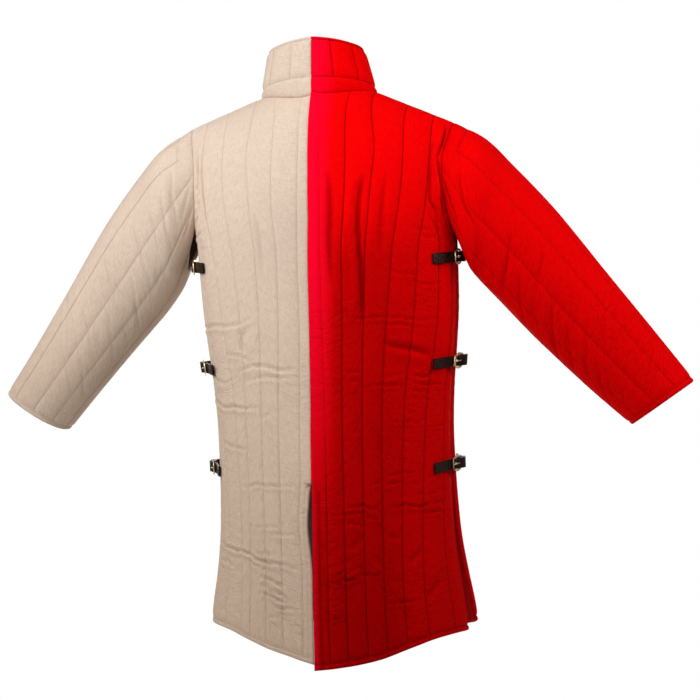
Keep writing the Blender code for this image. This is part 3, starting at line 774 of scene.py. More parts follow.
def panelSheet(side, face, surface):
    grid, push = surface
    plan = panelPlan
    rowMarks = rowMarksOf(grid, 10)
    columnMarks = stepped(plan["columns"], plan["steps"])
    sheet = Sheet(side, grid, push, rowMarks, columnMarks)
    sheet.number = np.interp(columnMarks, plan["columns"][:8] + plan["columns"][-1:], range(9))
    sheet.lines = [int(np.argmin(np.abs(columnMarks - b))) for b in plan["columns"][:-1]]
    sheet.fullness = plan["fullness"][side]
    row = sheet.rowShare = np.interp(rowMarks, range(len(panelRows)), panelRows)[:, None]
    sewn = coat["sewnSteps"]
    # puffed channels between the lines; the last one rolls over where the side is open
    puff, near = sheet.channels(sheet.lines)
    a = sheet.lines[-1]
    beside = sheet.across[:, a:] - sheet.across[:, a:a + 1]
    share = beside / beside[:, -1:]
    loose = fade(rowMarks[:, None], sewn, sewn + 1)
    last = channelPuff(share, beside[:, -1:]) * (1 - loose) + rolledHem(-share, 1.0) * loose
    puff[:, a:] = np.maximum(puff[:, a:], last)
    near[:, a:] = np.minimum(near[:, a:], beside)
    if side == "right" and face == "back":
        lastRow, less = plan["plainStrip"]
        near[:, :sheet.lines[1] + 4] += less * (row < lastRow)
    if face == "back":
        column, firstRow = plan["edging"]
        edging = np.abs(sheet.across - sheet.across[:, column:column + 1])
        near = np.where(row > firstRow, np.minimum(near, edging), near)
    # beside the armhole there is one channel; the two outermost lines begin below it
    begun = eased(fade(row, *plan["outerLines"]))
    a = sheet.lines[5]
    beside = sheet.across[:, a:] - sheet.across[:, a:a + 1]
    one = channelPuff(beside / beside[:, -1:], beside[:, -1:])
    puff[:, a:] = puff[:, a:] * begun + one * (1 - begun)
    near[:, a:] = np.minimum(near[:, a:] + (1 - begun) * 0.02, beside)
    sheet.firstStitch = {c: int(np.argmax(begun[:, 0] > 0.5)) for c in sheet.lines[6:]}
    # seams across: shoulder and neck above, line of stitching above the hem
    sheet.hemStitch = int(np.argmin(np.abs(rowMarks - plan["hemStitch"])))
    toHem = sheet.down[sheet.hemStitch:sheet.hemStitch + 1] - sheet.down
    puff = np.where(toHem >= 0, puff * climb(toHem, quilt["lineFade"]), rolledHem(toHem, plan["hemWide"]))
    lower = climb(sheet.down, quilt["shoulderFade"], 1.5)
    sheet.puff = (0.6 + (puff - 0.6) * lower) * climb(sheet.down, quilt["seamFade"])
    near = sheet.near = nearest(near + (1 - lower) * 0.0013, np.abs(toHem), sheet.down + 0.0008)
    # free edges roll over into the inner wall; a sewn edge counts as further away with each row above its end
    toEdge = sheet.across[:, -1:] - sheet.across
    toEnd = sheet.down[-1:] - sheet.down
    free = nearest(toEdge + np.clip(sewn + 0.5 - rowMarks, 0, None)[:, None] * 0.01, toEnd,
                   sheet.across * 1.9 + np.clip(plan["slitTop"][face] - row, 0, None) * 0.3)
    if face == "front":
        free = np.minimum(free, sheet.across + np.clip(row - coat["neckSlit"], 0, None) * 0.2)
    sheet.free = free
    sheet.hold = holding(near, 0.88, 0.004, nearest(toEdge, sheet.across, sheet.down, toEnd), 0.010)
    # painted shade on the inside wall and on the edge in the slit
    low, high, dark = plan["insideShade"]
    sheet.insideShade = dark * fade(free, low, high)
    if face == "back":
        beside, above, below = plan["inSlit"]
        sheet.hidden = fade(sheet.across, *beside) * fade(row, *above) * fade(row, *below)
        z = sheet.base[..., 2]
        aside = np.clip(sheet.across / spine["width"][side], 0, 1)
        sheet.sink = spine["depth"] * fade(z, *spine["above"]) * fade(z, *spine["below"]) * (1 - eased(aside))
    return sheet


def walls(sheet):
    # outer and inner points; both meet in a round edge where the piece ends freely
    height = quilt["groove"] + (quilt["crown"] - quilt["groove"]) * sheet.fullness * sheet.puff
    height = height - quilt["pinch"][sheet.side] * sheet.marked * bump(sheet.near, quilt["pinchWidth"])
    height = height + sheet.relief * sheet.hold
    rim = np.clip(sheet.free / quilt["roll"], 0, 1)
    rim = np.maximum(np.sqrt(1 - (1 - rim)**2), 0.04)
    middle = (quilt["inside"] + quilt["groove"]) / 2 + 0.0008
    outer = sheet.base + sheet.push * (middle + (height - middle) * rim - sheet.sink)[..., None]
    inner = sheet.base + sheet.push * (middle + (quilt["inside"] - middle) * rim - sheet.sink)[..., None]
    return outer, inner


def hang(points, mirror, swaying=True):
    out = points.copy()
    if mirror:
        out[..., 0] *= -1
    if swaying:
        heights = np.linspace(-1.0, 0.12, 113)
        whole, seam = [np.interp(out[..., 2], heights, [between(rows, z)[0] for z in heights])
                       for rows in (sway, seamSway)]
        near = np.clip(1 - np.abs(out[..., 0]) / seamReach, 0, 1) * (out[..., 1] > coat["middle"])
        out[..., 0] += seam * near + whole
    return out


def laidGrid(mesh, rows, columns):
    # a flat grid of points, each with its row and column
    made = bmesh.ops.create_grid(mesh, x_segments=columns - 1, y_segments=rows - 1, size=1)["verts"]
    return [(v, round((v.co.y + 1) / 2 * (rows - 1)), round((v.co.x + 1) / 2 * (columns - 1))) for v in made]


def finishPiece(name, mesh, look, node=None, smooth=True):
    data = bpy.data.meshes.new(name)
    mesh.to_mesh(data)
    mesh.free()
    data.materials.append(look)
    if smooth:
        data.shade_smooth()
    piece = bpy.data.objects.new(name, data)
    bpy.context.scene.collection.objects.link(piece)
    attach(piece, "root")
    if node:
        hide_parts(node)
    return piece


def finishThreads(name, mesh, look, thick):
    bmesh.ops.solidify(mesh, geom=mesh.faces[:], thickness=-thick)
    bmesh.ops.recalc_face_normals(mesh, faces=mesh.faces)
    return finishPiece(name + "_stitches", mesh, look, smooth=False)


def sewShell(name, sheet):
    # two grids, moved into the outer and inner wall and bridged along their open edges
    outer, inner = [hang(points, sheet.side == "right", not sheet.loop) for points in walls(sheet)]
    look, _, slot = looks[sheet.side]
    rows, columns = sheet.across.shape
    mesh = bmesh.new()
    uv = mesh.loops.layers.uv.new("cloth")
    marks = [mesh.verts.layers.float.new(key) for key in ("rise", "sewn", "fold", "hidden")]
    # painted shade along the stitched grooves
    drawnIn = bump(sheet.near, 0.0016) * sheet.marked
    # painted shade in the creases
    folded = np.clip(-sheet.relief * sheet.hold / 0.0028, 0, 1)
    layers = []
    for points, dark in ((outer, sheet.hidden), (inner, np.maximum(sheet.hidden, sheet.insideShade))):
        lookup = {}
        for v, i, j in laidGrid(mesh, rows, columns):
            lookup[v] = (i, j)
            v.co = points[i, j]
            for layer, values in zip(marks, (sheet.puff, drawnIn, folded, dark)):
                v[layer] = float(values[i, j])
        layers.append(lookup)
    for lookup in layers:
        for face in {f for v in lookup for f in v.link_faces}:
            for corner in face.loops:
                i, j = lookup[corner.vert]
                corner[uv].uv = (sheet.across[i, j], sheet.down[i, j])
    if sheet.loop:
        for lookup in layers:
            ends = [v for v, (i, j) in lookup.items() if j in (0, columns - 1)]
            bmesh.ops.remove_doubles(mesh, verts=ends, dist=2e-4)
    old = set(mesh.faces)
    if sheet.loop:
        rowOf = {v: i for lookup in layers for v, (i, j) in lookup.items() if v.is_valid}
        for endRow in (0, rows - 1):
            edges = [e for e in mesh.edges if e.is_boundary and all(rowOf[v] == endRow for v in e.verts)]
            bmesh.ops.bridge_loops(mesh, edges=edges)
    else:
        bmesh.ops.bridge_loops(mesh, edges=[e for e in mesh.edges if e.is_boundary])
    for face in mesh.faces:
        if face not in old:
            for corner in face.loops:
                corner[uv].uv = next(k[uv].uv.copy() for k in corner.vert.link_loops if k.face in old)
    bmesh.ops.recalc_face_normals(mesh, faces=mesh.faces)
    return finishPiece(name + "_cloth", mesh, look, name), outer


def sewThread(mesh, points, sideways, outward,
              step=quilt["stitchStep"], half=quilt["stitchHalf"], lift=0.0003):
    # one line of stitches: a ribbon along the points with every second face left out
    far = np.concatenate([[0], np.cumsum(np.linalg.norm(np.diff(points, axis=0), axis=1))])
    count = int(far[-1] / step)
    if count < 1:
        return
    starts = np.arange(count) * step
    at = np.stack([starts, starts + step * quilt["stitchShare"]], 1).ravel()
    place, beside, out = [np.stack([np.interp(at, far, rows[:, k]) for k in range(3)], 1)
                          for rows in (points, sideways, outward)]
    beside, out = unit(beside), unit(out)
    made = laidGrid(mesh, 2, len(at))
    for v, edge, i in made:
        v.co = place[i] + beside[i] * half * (1 if edge else -1) + out[i] * lift
        v.index = i
    faces = dict.fromkeys(f for v, edge, i in made for f in v.link_faces)
    gone = [f for f in faces if min(v.index for v in f.verts) % 2]
    bmesh.ops.delete(mesh, geom=gone, context="FACES_ONLY")


def sheetThreads(name, sheet, outer, columns, rows, look=None):
    # stitches in the grooves of a quilted piece: lines down it, then rows across it
    thread, slot = looks[sheet.side][1:]
    mesh = bmesh.new()
    outward = hang(sheet.push, sheet.side == "right", False)
    for column, first, last in columns:
        down = slice(first, last + 1)
        beside = outer[down, min(column + 1, outer.shape[1] - 1)] - outer[down, column]
        sewThread(mesh, outer[down, column], beside, outward[down, column])
    for row, index in rows:
        below = outer[min(row + 1, outer.shape[0] - 1), index] - outer[row, index]
        sewThread(mesh, outer[row, index], below, outward[row, index])
    return finishThreads(name, mesh, look or thread, 0.0006)


# materials
def startLook(name, **shaderValues):
    material = bpy.data.materials.new(name)
    material.use_nodes = True
    nodes, links = material.node_tree.nodes, material.node_tree.links
    shader = nodes["Principled BSDF"]

    def put(socket, value):
        # a number or colour is set on the socket, another node's output is linked to it
        if isinstance(value, bpy.types.NodeSocket):
            links.new(value, socket)
        else:
            socket.default_value = value

    def node(kind, inputs, **settings):
        made = nodes.new("ShaderNode" + kind)
        for key, value in settings.items():
            setattr(made, key, value)
        for key, value in inputs.items():
            put(made.inputs[key], value)
        return made

    for key, value in shaderValues.items():
        put(shader.inputs[key.replace("_", " ")], value)
    return material, shader, node, put


def noiseOf(node, place, scale, detail=2.0, rough=0.5, twist=0.0):
    return node("TexNoise", {"Vector": place, "Scale": scale, "Detail": detail, "Roughness": rough,
                             "Distortion": twist}).outputs["Fac"]


def rampOf(node, value, first, second):
    # first and second: place on the ramp and colour
    ramp = node("ValToRGB", {"Fac": value})
    for element, (position, colour) in zip(ramp.color_ramp.elements, (first, second)):
        element.position = position
        element.color = (*colour, 1)
    return ramp.outputs["Color"]


def ranged(node, value, low, high, start, end):
    return node("MapRange", {"Value": value, "From Min": low, "From Max": high,
                             "To Min": start, "To Max": end}).outputs["Result"]


def cottonLook(name, tone, seed):
    # plain weave on the cloth's own map, slubs in both threads, soft unevenness, painted shade along the
    # lines of stitching
    pale = (*tone["pale"], 1)
    material, shader, node, put = startLook(
        name, Roughness=0.9, Specular_IOR_Level=tone["gloss"], Specular_Tint=pale,
        Sheen_Weight=tone["sheen"], Sheen_Roughness=0.5, Sheen_Tint=pale)
    cloth = node("UVMap", {}, uv_map="cloth").outputs["UV"]
    place = node("TexCoord", {}).outputs["Object"]

    def mapped(source, scale, offset):
        return node("Mapping", {"Vector": source, "Scale": scale, "Location": offset}).outputs["Vector"]

    def threads(direction, pitch):
        return node("TexWave", {"Vector": cloth, "Scale": 0.314 / pitch, "Distortion": 2.0, "Detail": 1.0,
                                "Detail Scale": 0.6},
                    wave_type="BANDS", bands_direction=direction, wave_profile="SIN").outputs["Fac"]

    def joined(kind, a, b):
        return node("Math", {0: a, 1: b}, operation=kind).outputs[0]

    def blended(kind, share, first, second):
        return node("MixRGB", {"Fac": share, "Color1": first, "Color2": (*second, 1)},
                    blend_type=kind).outputs["Color"]

    def across(value, *limits):
        return ranged(node, value, *limits)

    def product(first, *others):
        for other in others:
            first = joined("MULTIPLY", first, other)
        return first

    weave = product(joined("ADD", threads("X", 0.00105), threads("Y", 0.00115)), 0.5)
    slubDown = noiseOf(node, mapped(cloth, (480, 75, 1), (seed, 0, 0)), 1.0, 3.0, 0.65)
    slubAcross = noiseOf(node, mapped(cloth, (60, 440, 1), (0, seed, 0)), 1.0, 3.0, 0.65)
    slubs = product(joined("ADD", slubDown, slubAcross), 0.5)
    patch = noiseOf(node, mapped(place, (1, 1, 1), (seed, 0, 0)), 7.0, 4.0, 0.62)
    fine = noiseOf(node, place, 150.0, 3.0, 0.6)
    # crinkles: narrow valleys where a stretched noise crosses its middle, in some places only
    valley = noiseOf(node, mapped(cloth, (26, 78, 1), (seed, seed, 0)), 1.0, 3.0, 0.6, 0.6)
    ridge = joined("ABSOLUTE", joined("SUBTRACT", valley, 0.5), 0.0)
    where = noiseOf(node, mapped(cloth, (9, 9, 1), (0, 0, seed)), 1.0, 2.0, 0.5)
    crinkle = product(across(ridge, 0.0, 0.055, -1.0, 0.0), across(where, 0.40, 0.58, 0.15, 1.0))
    # colour: threads, uneven patches, then painted shade that deepens it towards the hem, where the light
    # falls off
    base = blended("MIX", across(slubs, 0.40, 0.58, 1.0, 0.0), (*tone["colour"], 1), tone["shade"])
    base = blended("MIX", across(patch, 0.35, 0.65, tone["patchy"], 0.0), base, tone["shade"])
    x, y, z = node("SeparateXYZ", {"Vector": place}).outputs
    aside = joined("ABSOLUTE", x, 0.0)
    lowShadeMask = product(across(z, *tone["lowShadeHeights"], 0.0, 1.0),
                      across(aside, 0.24, 0.27, 1.0, tone["sleeveLowShade"]),
                      across(aside, 0.125, 0.165, 1.0, tone["sideLowShade"]))
    base = blended("MULTIPLY", lowShadeMask, base, tone["lowShadeTint"])
    # painted shade: the red is darker below the shoulders
    if tone["midShade"]:
        midShade = product(across(aside, 0.026, 0.048, 0.0, 1.0), across(aside, 0.115, 0.250, 1.0, 0.0),
                      across(z, -0.21, -0.30, 0.0, 1.0), across(z, -0.42, -0.80, 1.0, 0.40))
        base = blended("MULTIPLY", midShade, base, tone["midShade"])
    # painted highlight: the red is brighter beside the back seam
    if tone["seamHighlight"]:
        glow = product(across(aside, 0.010, 0.044, 1.0, 0.0), across(z, -0.74, -0.30, 0.0, 1.0))
        glow = joined("MAXIMUM", glow, across(aside, 0.003, 0.013, 0.50, 0.0))
        base = blended("MIX", product(glow, across(y, 0.03, 0.06, 0.0, 1.0)), base, tone["seamHighlight"])
    # painted shade: darker low in the channels, in folds, along the lines of stitching, on the inside and on
    # the edge in the slit
    for key, low, high, start, end, colour in (
            ("rise", 0.0, 0.5, tone["low"], 0.0, tone["deep"]),
            ("fold", 0.08, 1.0, 0.0, tone["fold"], tone["deep"]),
            ("sewn", 0.25, 1.0, 0.0, tone["line"], tone["deep"]),
            ("hidden", 0.0, 1.0, 0.0, tone["hidden"], (0.045, 0.016, 0.016))):
        marks = node("Attribute", {}, attribute_name=key).outputs["Fac"]
        base = blended("MIX", across(marks, low, high, start, end), base, colour)
    put(shader.inputs["Base Color"], base)
    # bump: weave over slubs over crinkles over soft unevenness; the shoulders are smoother
    crinkle = product(crinkle, across(z, -0.16, -0.42, tone["smooth"], 1.0))
    under = {}
    for source, strength, distance in ((fine, 0.45, 0.0010), (crinkle, tone["crinkled"], 0.0011),
                                       (slubs, tone["slubby"], 0.0007), (weave, 0.35, 0.00015)):
        layer = node("Bump", {"Height": source, "Strength": strength, "Distance": distance, **under})
        under = {"Normal": layer.outputs["Normal"]}
    put(shader.inputs["Normal"], under["Normal"])
    return material


def threadLook(name, colour):
    material, shader, node, put = startLook(name, Roughness=0.75, Specular_IOR_Level=0.12)
    speckle = noiseOf(node, node("TexCoord", {}).outputs["Object"], 900.0)
    put(shader.inputs["Base Color"], rampOf(node, speckle, (0.0, [k * 0.75 for k in colour]), (1.0, colour)))
    return material


tones = {
    "natural": {
        "colour": (0.785, 0.632, 0.512), "shade": (0.665, 0.522, 0.415), "deep": (0.53, 0.402, 0.307),
        "pale": (1.0, 0.95, 0.90), "gloss": 0.15, "sheen": 0.08, "patchy": 0.35,
        "lowShadeTint": (0.99, 0.915, 0.84), "lowShadeHeights": (-0.12, -0.90), "sleeveLowShade": 1.0, "sideLowShade": 1.0,
        "midShade": None, "seamHighlight": None,
        "low": 0.07, "line": 0.11, "fold": 0.62, "hidden": 0.92,
        "smooth": 0.08, "crinkled": 0.46, "slubby": 0.80,
    },
    "red": {
        "colour": (1.0, 0.0006, 0.0016), "shade": (0.86, 0.0004, 0.0008), "deep": (0.20, 0.0, 0.0),
        "pale": (1.0, 0.02, 0.02), "gloss": 0.10, "sheen": 0.06, "patchy": 0.30,
        "lowShadeTint": (0.50, 0.5, 0.5), "lowShadeHeights": (-0.17, -0.88), "sleeveLowShade": 0.05, "sideLowShade": 0.74,
        "midShade": (0.70, 0.70, 0.70), "seamHighlight": (1.0, 0.0012, 0.024),
        "low": 0.10, "line": 0.38, "fold": 0.54, "hidden": 0.0,
        "smooth": 0.30, "crinkled": 0.66, "slubby": 0.70,
    },
}
naturalLook = cottonLook("natural_cotton_weave", tones["natural"], 3.0)
redLook = cottonLook("red_cotton_weave", tones["red"], 11.0)
naturalThread = threadLook("natural_thread", (0.64, 0.50, 0.39))
# the red thread on the body and collar is painted darker than the same thread on the sleeves: painted shade
# of its grooves
redThread = threadLook("red_thread", (0.34, 0.0008, 0.0008))
tackThread = threadLook("dark_tack_thread", (0.17, 0.055, 0.045))
sleeveThreads = {"left": naturalThread, "right": threadLook("bright_red_thread", (0.68, 0.0010, 0.0010))}
looks = {"left": (naturalLook, naturalThread, "natural_cotton"), "right": (redLook, redThread, "red_cotton")}
print("materials ready")

# main creases of each panel: depth and width, then (line number, height), sizes in millimetres
creases = {
    "back_left": (
        (2.6, 4.0, ((7.5, -400), (5.4, -395), (4.7, -397), (4.15, -395), (3.7, -389), (3.2, -383))),
        (2.0, 8.0, ((3.4, -395), (3.95, -417), (4.0, -445))),
        (1.8, 4.0, ((5.1, -446), (4.5, -445), (4.0, -449), (3.3, -463))),
        (2.2, 4.5, ((4.55, -474), (3.9, -469), (3.2, -465), (2.6, -467), (2.1, -473), (1.27, -474))),
        (1.8, 4.0, ((3.9, -494), (3.55, -488.5), (3.0, -485), (2.2, -485), (1.75, -487), (1.3, -483))),
        (1.5, 4.0, ((6.1, -489), (5.5, -493), (4.95, -492))),
        (3.6, 3.6, ((7.2, -516), (6.6, -521), (6.15, -528), (5.55, -535), (4.9, -532.5), (4.35, -537),
                    (3.7, -535), (3.15, -539))),
        (1.6, 4.0, ((3.25, -549.5), (2.75, -550.5), (2.35, -542.5))),
        (2.0, 4.0, ((6.2, -591), (5.6, -598), (4.75, -602.5), (4.1, -607))),
        (2.2, 3.4, ((4.84, -665), (3.97, -667), (3.46, -661.5), (2.67, -664.6), (1.97, -664.6),
                    (1.2, -665.5))),
        (1.6, 3.0, ((4.4, -731), (3.45, -733), (2.5, -732), (1.9, -732))),
        (1.5, 3.2, ((2.8, -745), (1.85, -745), (1.2, -748.5))),
        (2.8, 3.6, ((6.8, -762.5), (5.75, -772.5), (4.4, -777), (3.7, -785), (2.95, -791), (2.4, -793),
                    (1.87, -794), (1.4, -799), (1.15, -804))),
        (1.8, 3.0, ((3.8, -775), (3.05, -778), (2.35, -777))),
        (1.6, 3.0, ((4.2, -785), (3.8, -796.5), (3.5, -802))),
        (2.0, 3.0, ((3.45, -815), (2.8, -819), (2.25, -827), (1.75, -833))),
        (2.0, 3.0, ((3.4, -827), (2.8, -837), (2.2, -841), (1.8, -851), (1.45, -855))),
        (2.2, 3.0, ((3.45, -843), (2.65, -845), (2.25, -854), (1.87, -857), (1.45, -856.5))),
        (2.2, 3.0, ((2.6, -861), (2.1, -865), (1.75, -867), (1.45, -867))),
        (1.5, 3.5, ((3.0, -885), (2.5, -881), (2.1, -882))),
        (2.0, 3.5, ((1.5, -893), (1.02, -899))),
        (1.8, 3.5, ((6.6, -794), (5.7, -800), (5.4, -809))),
        (1.8, 5.0, ((2.75, -205), (2.68, -250), (2.72, -320))),
        (2.4, 3.0, ((5.05, -125), (5.0, -180), (5.0, -240))),
        (3.0, 2.6, ((6.3, -249), (5.7, -250.5), (4.95, -249.5))),
        (1.5, 3.0, ((6.0, -262), (5.2, -265))),
        (1.4, 3.0, ((5.1, -162), (4.75, -156))),
        (1.2, 3.5, ((5.3, -218), (4.8, -208))),
        (3.2, 3.8, ((7.7, -142), (7.1, -158), (6.2, -150))),
        (3.6, 3.4, ((7.8, -176), (7.0, -184), (5.9, -178))),
        (3.8, 3.4, ((7.8, -206), (7.1, -214), (6.3, -206))),
        (4.2, 3.2, ((7.8, -232), (7.0, -240), (5.8, -232))),
        (3.0, 4.2, ((6.7, -90), (6.5, -125), (6.7, -165))),
    ),
    "back_right": (
        (2.0, 3.5, ((1.5, -393), (2.0, -393), (3.0, -390), (3.6, -390), (4.3, -391.5), (4.9, -395),
                    (5.6, -395), (6.1, -393))),
        (2.0, 3.6, ((3.9, -402), (4.5, -403), (5.05, -407))),
        (3.2, 6.0, ((3.9, -433), (4.5, -440), (5.0, -444), (5.5, -449), (5.9, -456))),
        (1.6, 3.4, ((2.1, -481), (2.95, -479.5))),
        (1.8, 3.4, ((2.3, -495.5), (2.95, -493.5))),
        (2.8, 3.2, ((3.1, -506.5), (3.6, -501), (4.0, -503), (4.55, -503), (5.05, -507))),
        (1.7, 3.0, ((5.1, -504), (6.1, -504), (7.1, -505.5))),
        (2.4, 4.0, ((5.1, -486), (5.75, -490.5), (6.2, -483))),
        (1.5, 4.0, ((4.0, -490), (5.0, -483))),
        (2.0, 4.0, ((5.1, -511), (6.1, -519))),
        (1.6, 3.6, ((2.3, -517.5), (2.95, -514))),
        (1.7, 3.0, ((4.0, -562), (5.1, -564), (6.0, -565.5))),
        (1.2, 3.0, ((6.1, -526), (6.8, -526))),
        (1.4, 3.2, ((6.2, -573), (7.1, -573))),
        (1.3, 3.6, ((2.3, -581.5), (3.0, -578))),
        (1.8, 3.0, ((4.1, -653.5), (4.85, -648.5), (5.5, -648.5), (6.0, -648.5))),
        (2.0, 3.2, ((3.3, -667.5), (4.05, -658.5))),
        (2.0, 3.0, ((4.1, -669), (5.0, -661))),
        (1.6, 3.0, ((5.1, -657.5), (6.0, -654))),
        (1.6, 3.0, ((6.1, -657.5), (7.05, -659))),
        (2.6, 3.0, ((2.1, -703), (3.0, -698), (3.4, -706), (4.05, -693))),
        (2.7, 3.2, ((4.1, -706), (4.95, -700.5), (5.4, -703), (5.95, -705), (6.3, -701), (7.05, -701))),
        (1.6, 3.0, ((5.4, -685), (5.95, -684), (6.3, -685), (7.05, -679))),
        (1.9, 3.0, ((1.15, -715.5), (2.0, -714), (2.95, -709))),
        (1.6, 3.0, ((3.1, -719), (4.0, -722))),
        (2.0, 3.0, ((6.05, -717), (7.0, -715))),
        (1.6, 4.0, ((2.1, -726.5), (3.1, -732))),
        (1.2, 5.0, ((4.2, -750), (5.0, -754))),
        (2.7, 2.6, ((1.0, -814), (1.5, -813), (2.0, -805))),
        (2.8, 2.8, ((1.0, -821), (1.6, -824), (2.05, -820), (2.9, -813), (3.3, -809))),
        (1.4, 3.0, ((2.25, -803), (2.95, -797))),
        (1.7, 3.0, ((3.2, -815), (3.95, -808))),
        (1.8, 3.5, ((4.1, -859), (5.0, -859), (5.8, -857))),
        (2.7, 2.6, ((0.98, -879), (1.5, -880), (1.9, -876))),
        (1.7, 2.8, ((0.98, -872.5), (1.65, -872))),
        (1.5, 7.0, ((6.0, -855), (6.6, -825))),
        (1.3, 6.0, ((5.2, -795), (5.9, -778))),
        (1.3, 6.0, ((2.2, -768), (3.0, -750))),
        (6.6, 6.0, ((2.62, -150), (2.58, -200), (2.72, -255), (2.86, -330), (2.90, -400))),
        (3.6, 6.5, ((2.30, -235), (2.36, -290), (2.42, -370))),
        (3.6, 6.5, ((1.35, -140), (1.45, -200), (1.5, -260), (1.6, -340))),
        (2.4, 6.5, ((3.4, -150), (3.45, -220), (3.6, -290))),
        (3.2, 5.2, ((5.55, -95), (5.45, -150), (5.7, -200), (6.3, -240))),
        (6.6, 4.8, ((7.2, -70), (7.6, -96), (6.9, -126))),
        (7.2, 4.8, ((6.9, -124), (7.6, -148), (7.3, -195))),
        (6.0, 4.8, ((7.7, -165), (7.3, -195), (6.9, -222))),
        (2.4, 5.0, ((4.9, -180), (5.3, -215), (6.0, -252))),
        (1.5, 6.0, ((4.8, -120), (4.85, -190))),
        (2.0, 4.0, ((5.5, -195), (6.4, -222))),
        (1.2, 3.0, ((2.9, -240), (3.8, -240))),
        (1.5, 3.0, ((4.5, -243), (5.1, -245), (5.8, -248))),
        (1.5, 3.0, ((5.1, -258), (6.0, -262))),
        (1.2, 4.0, ((4.0, -317), (5.2, -320))),
        (1.5, 4.0, ((5.1, -338), (6.1, -335))),
    ),
    "front_left": (
        (2.4, 4.0, ((7.4, -330), (5.8, -337), (4.6, -331), (3.4, -338))),
        (1.8, 4.0, ((4.2, -392), (3.1, -399), (2.2, -394))),
        (2.6, 3.6, ((6.9, -452), (5.5, -461), (4.2, -456), (3.1, -464))),
        (1.7, 3.6, ((3.2, -497), (2.1, -503), (1.2, -500))),
        (2.2, 4.0, ((6.4, -560), (5.2, -566), (4.1, -561))),
        (2.0, 3.2, ((4.3, -628), (3.2, -622), (2.1, -630), (1.2, -627))),
        (2.5, 3.4, ((6.8, -700), (5.4, -708), (4.2, -716), (2.9, -712), (1.9, -722))),
        (1.8, 3.2, ((4.4, -768), (3.3, -774), (2.2, -784))),
        (1.9, 3.2, ((6.6, -812), (5.5, -806), (4.5, -815))),
        (1.7, 3.6, ((3.1, -842), (2.0, -848))),
        (2.6, 3.0, ((6.4, -205), (5.6, -200), (4.9, -204))),
        (1.8, 5.0, ((2.4, -140), (2.5, -200), (2.35, -270))),
    ),
    "front_right": (
        (2.2, 3.8, ((7.3, -352), (5.9, -346), (4.5, -352), (3.3, -347))),
        (2.6, 4.6, ((5.2, -402), (4.3, -396), (3.1, -404), (2.2, -400))),
        (1.8, 3.6, ((3.3, -448), (2.2, -452), (1.2, -447))),
        (2.4, 3.4, ((7.0, -478), (5.7, -486), (4.4, -480), (3.2, -487))),
        (1.8, 3.6, ((4.3, -545), (3.1, -551))),
        (2.2, 3.2, ((6.9, -602), (5.6, -610), (4.2, -604), (3.1, -612))),
        (2.4, 3.2, ((4.2, -668), (3.2, -662), (2.1, -672), (1.1, -668))),
        (2.0, 3.4, ((6.8, -742), (5.6, -736), (4.4, -746))),
        (2.4, 2.8, ((3.2, -788), (2.1, -781), (1.1, -790))),
        (1.8, 3.4, ((6.2, -842), (5.1, -848), (4.1, -842))),
        (2.8, 4.6, ((2.7, -100), (2.5, -160), (2.8, -220))),
        (2.0, 3.4, ((6.2, -212), (5.1, -206))),
    ),
}


def makePanel(side, face, surface, seed):
    name = face + "_" + side
    sheet = panelSheet(side, face, surface)
    for depth, wide, points in creases[name]:
        sheet.crease(depth * creaseSize[face], wide, points)
    low = {"left": 1.15, "right": 0.9}[side]

    def amount(row, column):
        share = float(sheet.rowShare[row, 0])
        strength = 0.18 + 0.55 * min(max((share - 0.75) / 0.6, 0), 1)
        if column in sheet.lines[5:]:
            strength *= 1.35
        return 0.001 * strength * low

    puckers(sheet, sheet.lines[1:], amount, seed)
    piece, outer = sewShell(name, sheet)
    last = sheet.hemStitch
    first = int(np.argmax(sheet.down[:, 40] > 0.004))
    columns = [(c, max(first, sheet.firstStitch.get(c, 0)), last) for c in sheet.lines[1:]]
    if name == "back_right":
        columns[0] = (sheet.lines[1], int(np.argmax(sheet.rowShare[:, 0] > 1.45)), last)
    if face == "back":
        columns.append((3, int(np.argmax(sheet.rowShare[:, 0] > 1.59)), last))
    threads = sheetThreads(name, sheet, outer, columns, [(last, np.arange(sheet.lines[-1] + 1))])
    return piece, threads, outer


halves = {side: drawHalf(side) for side in ("left", "right")}
print("coarse drawing ready")
allCloth = {}
for number, (side, face) in enumerate((s, f) for s in ("left", "right") for f in ("back", "front")):
    allCloth[face + "_" + side] = makePanel(side, face, halves[side][face], 20 + number)


sleevePlan = {
    "lines": 10, "steps": 13,       # lines of quilting round the arm, and fine steps between two
    "band": 0.026, "bandPuff": 0.42, "bandReach": (6.1, 5.75),      # plain strip at the shoulder, columns
    "cuffStitch": 12, "cuffWide": 0.009, "openFrom": 13.4,      # coarse row, metres, coarse column
    "fullness": {"left": 0.52, "right": 0.55}, "marked": {"left": 0.75, "right": 0.45},
}


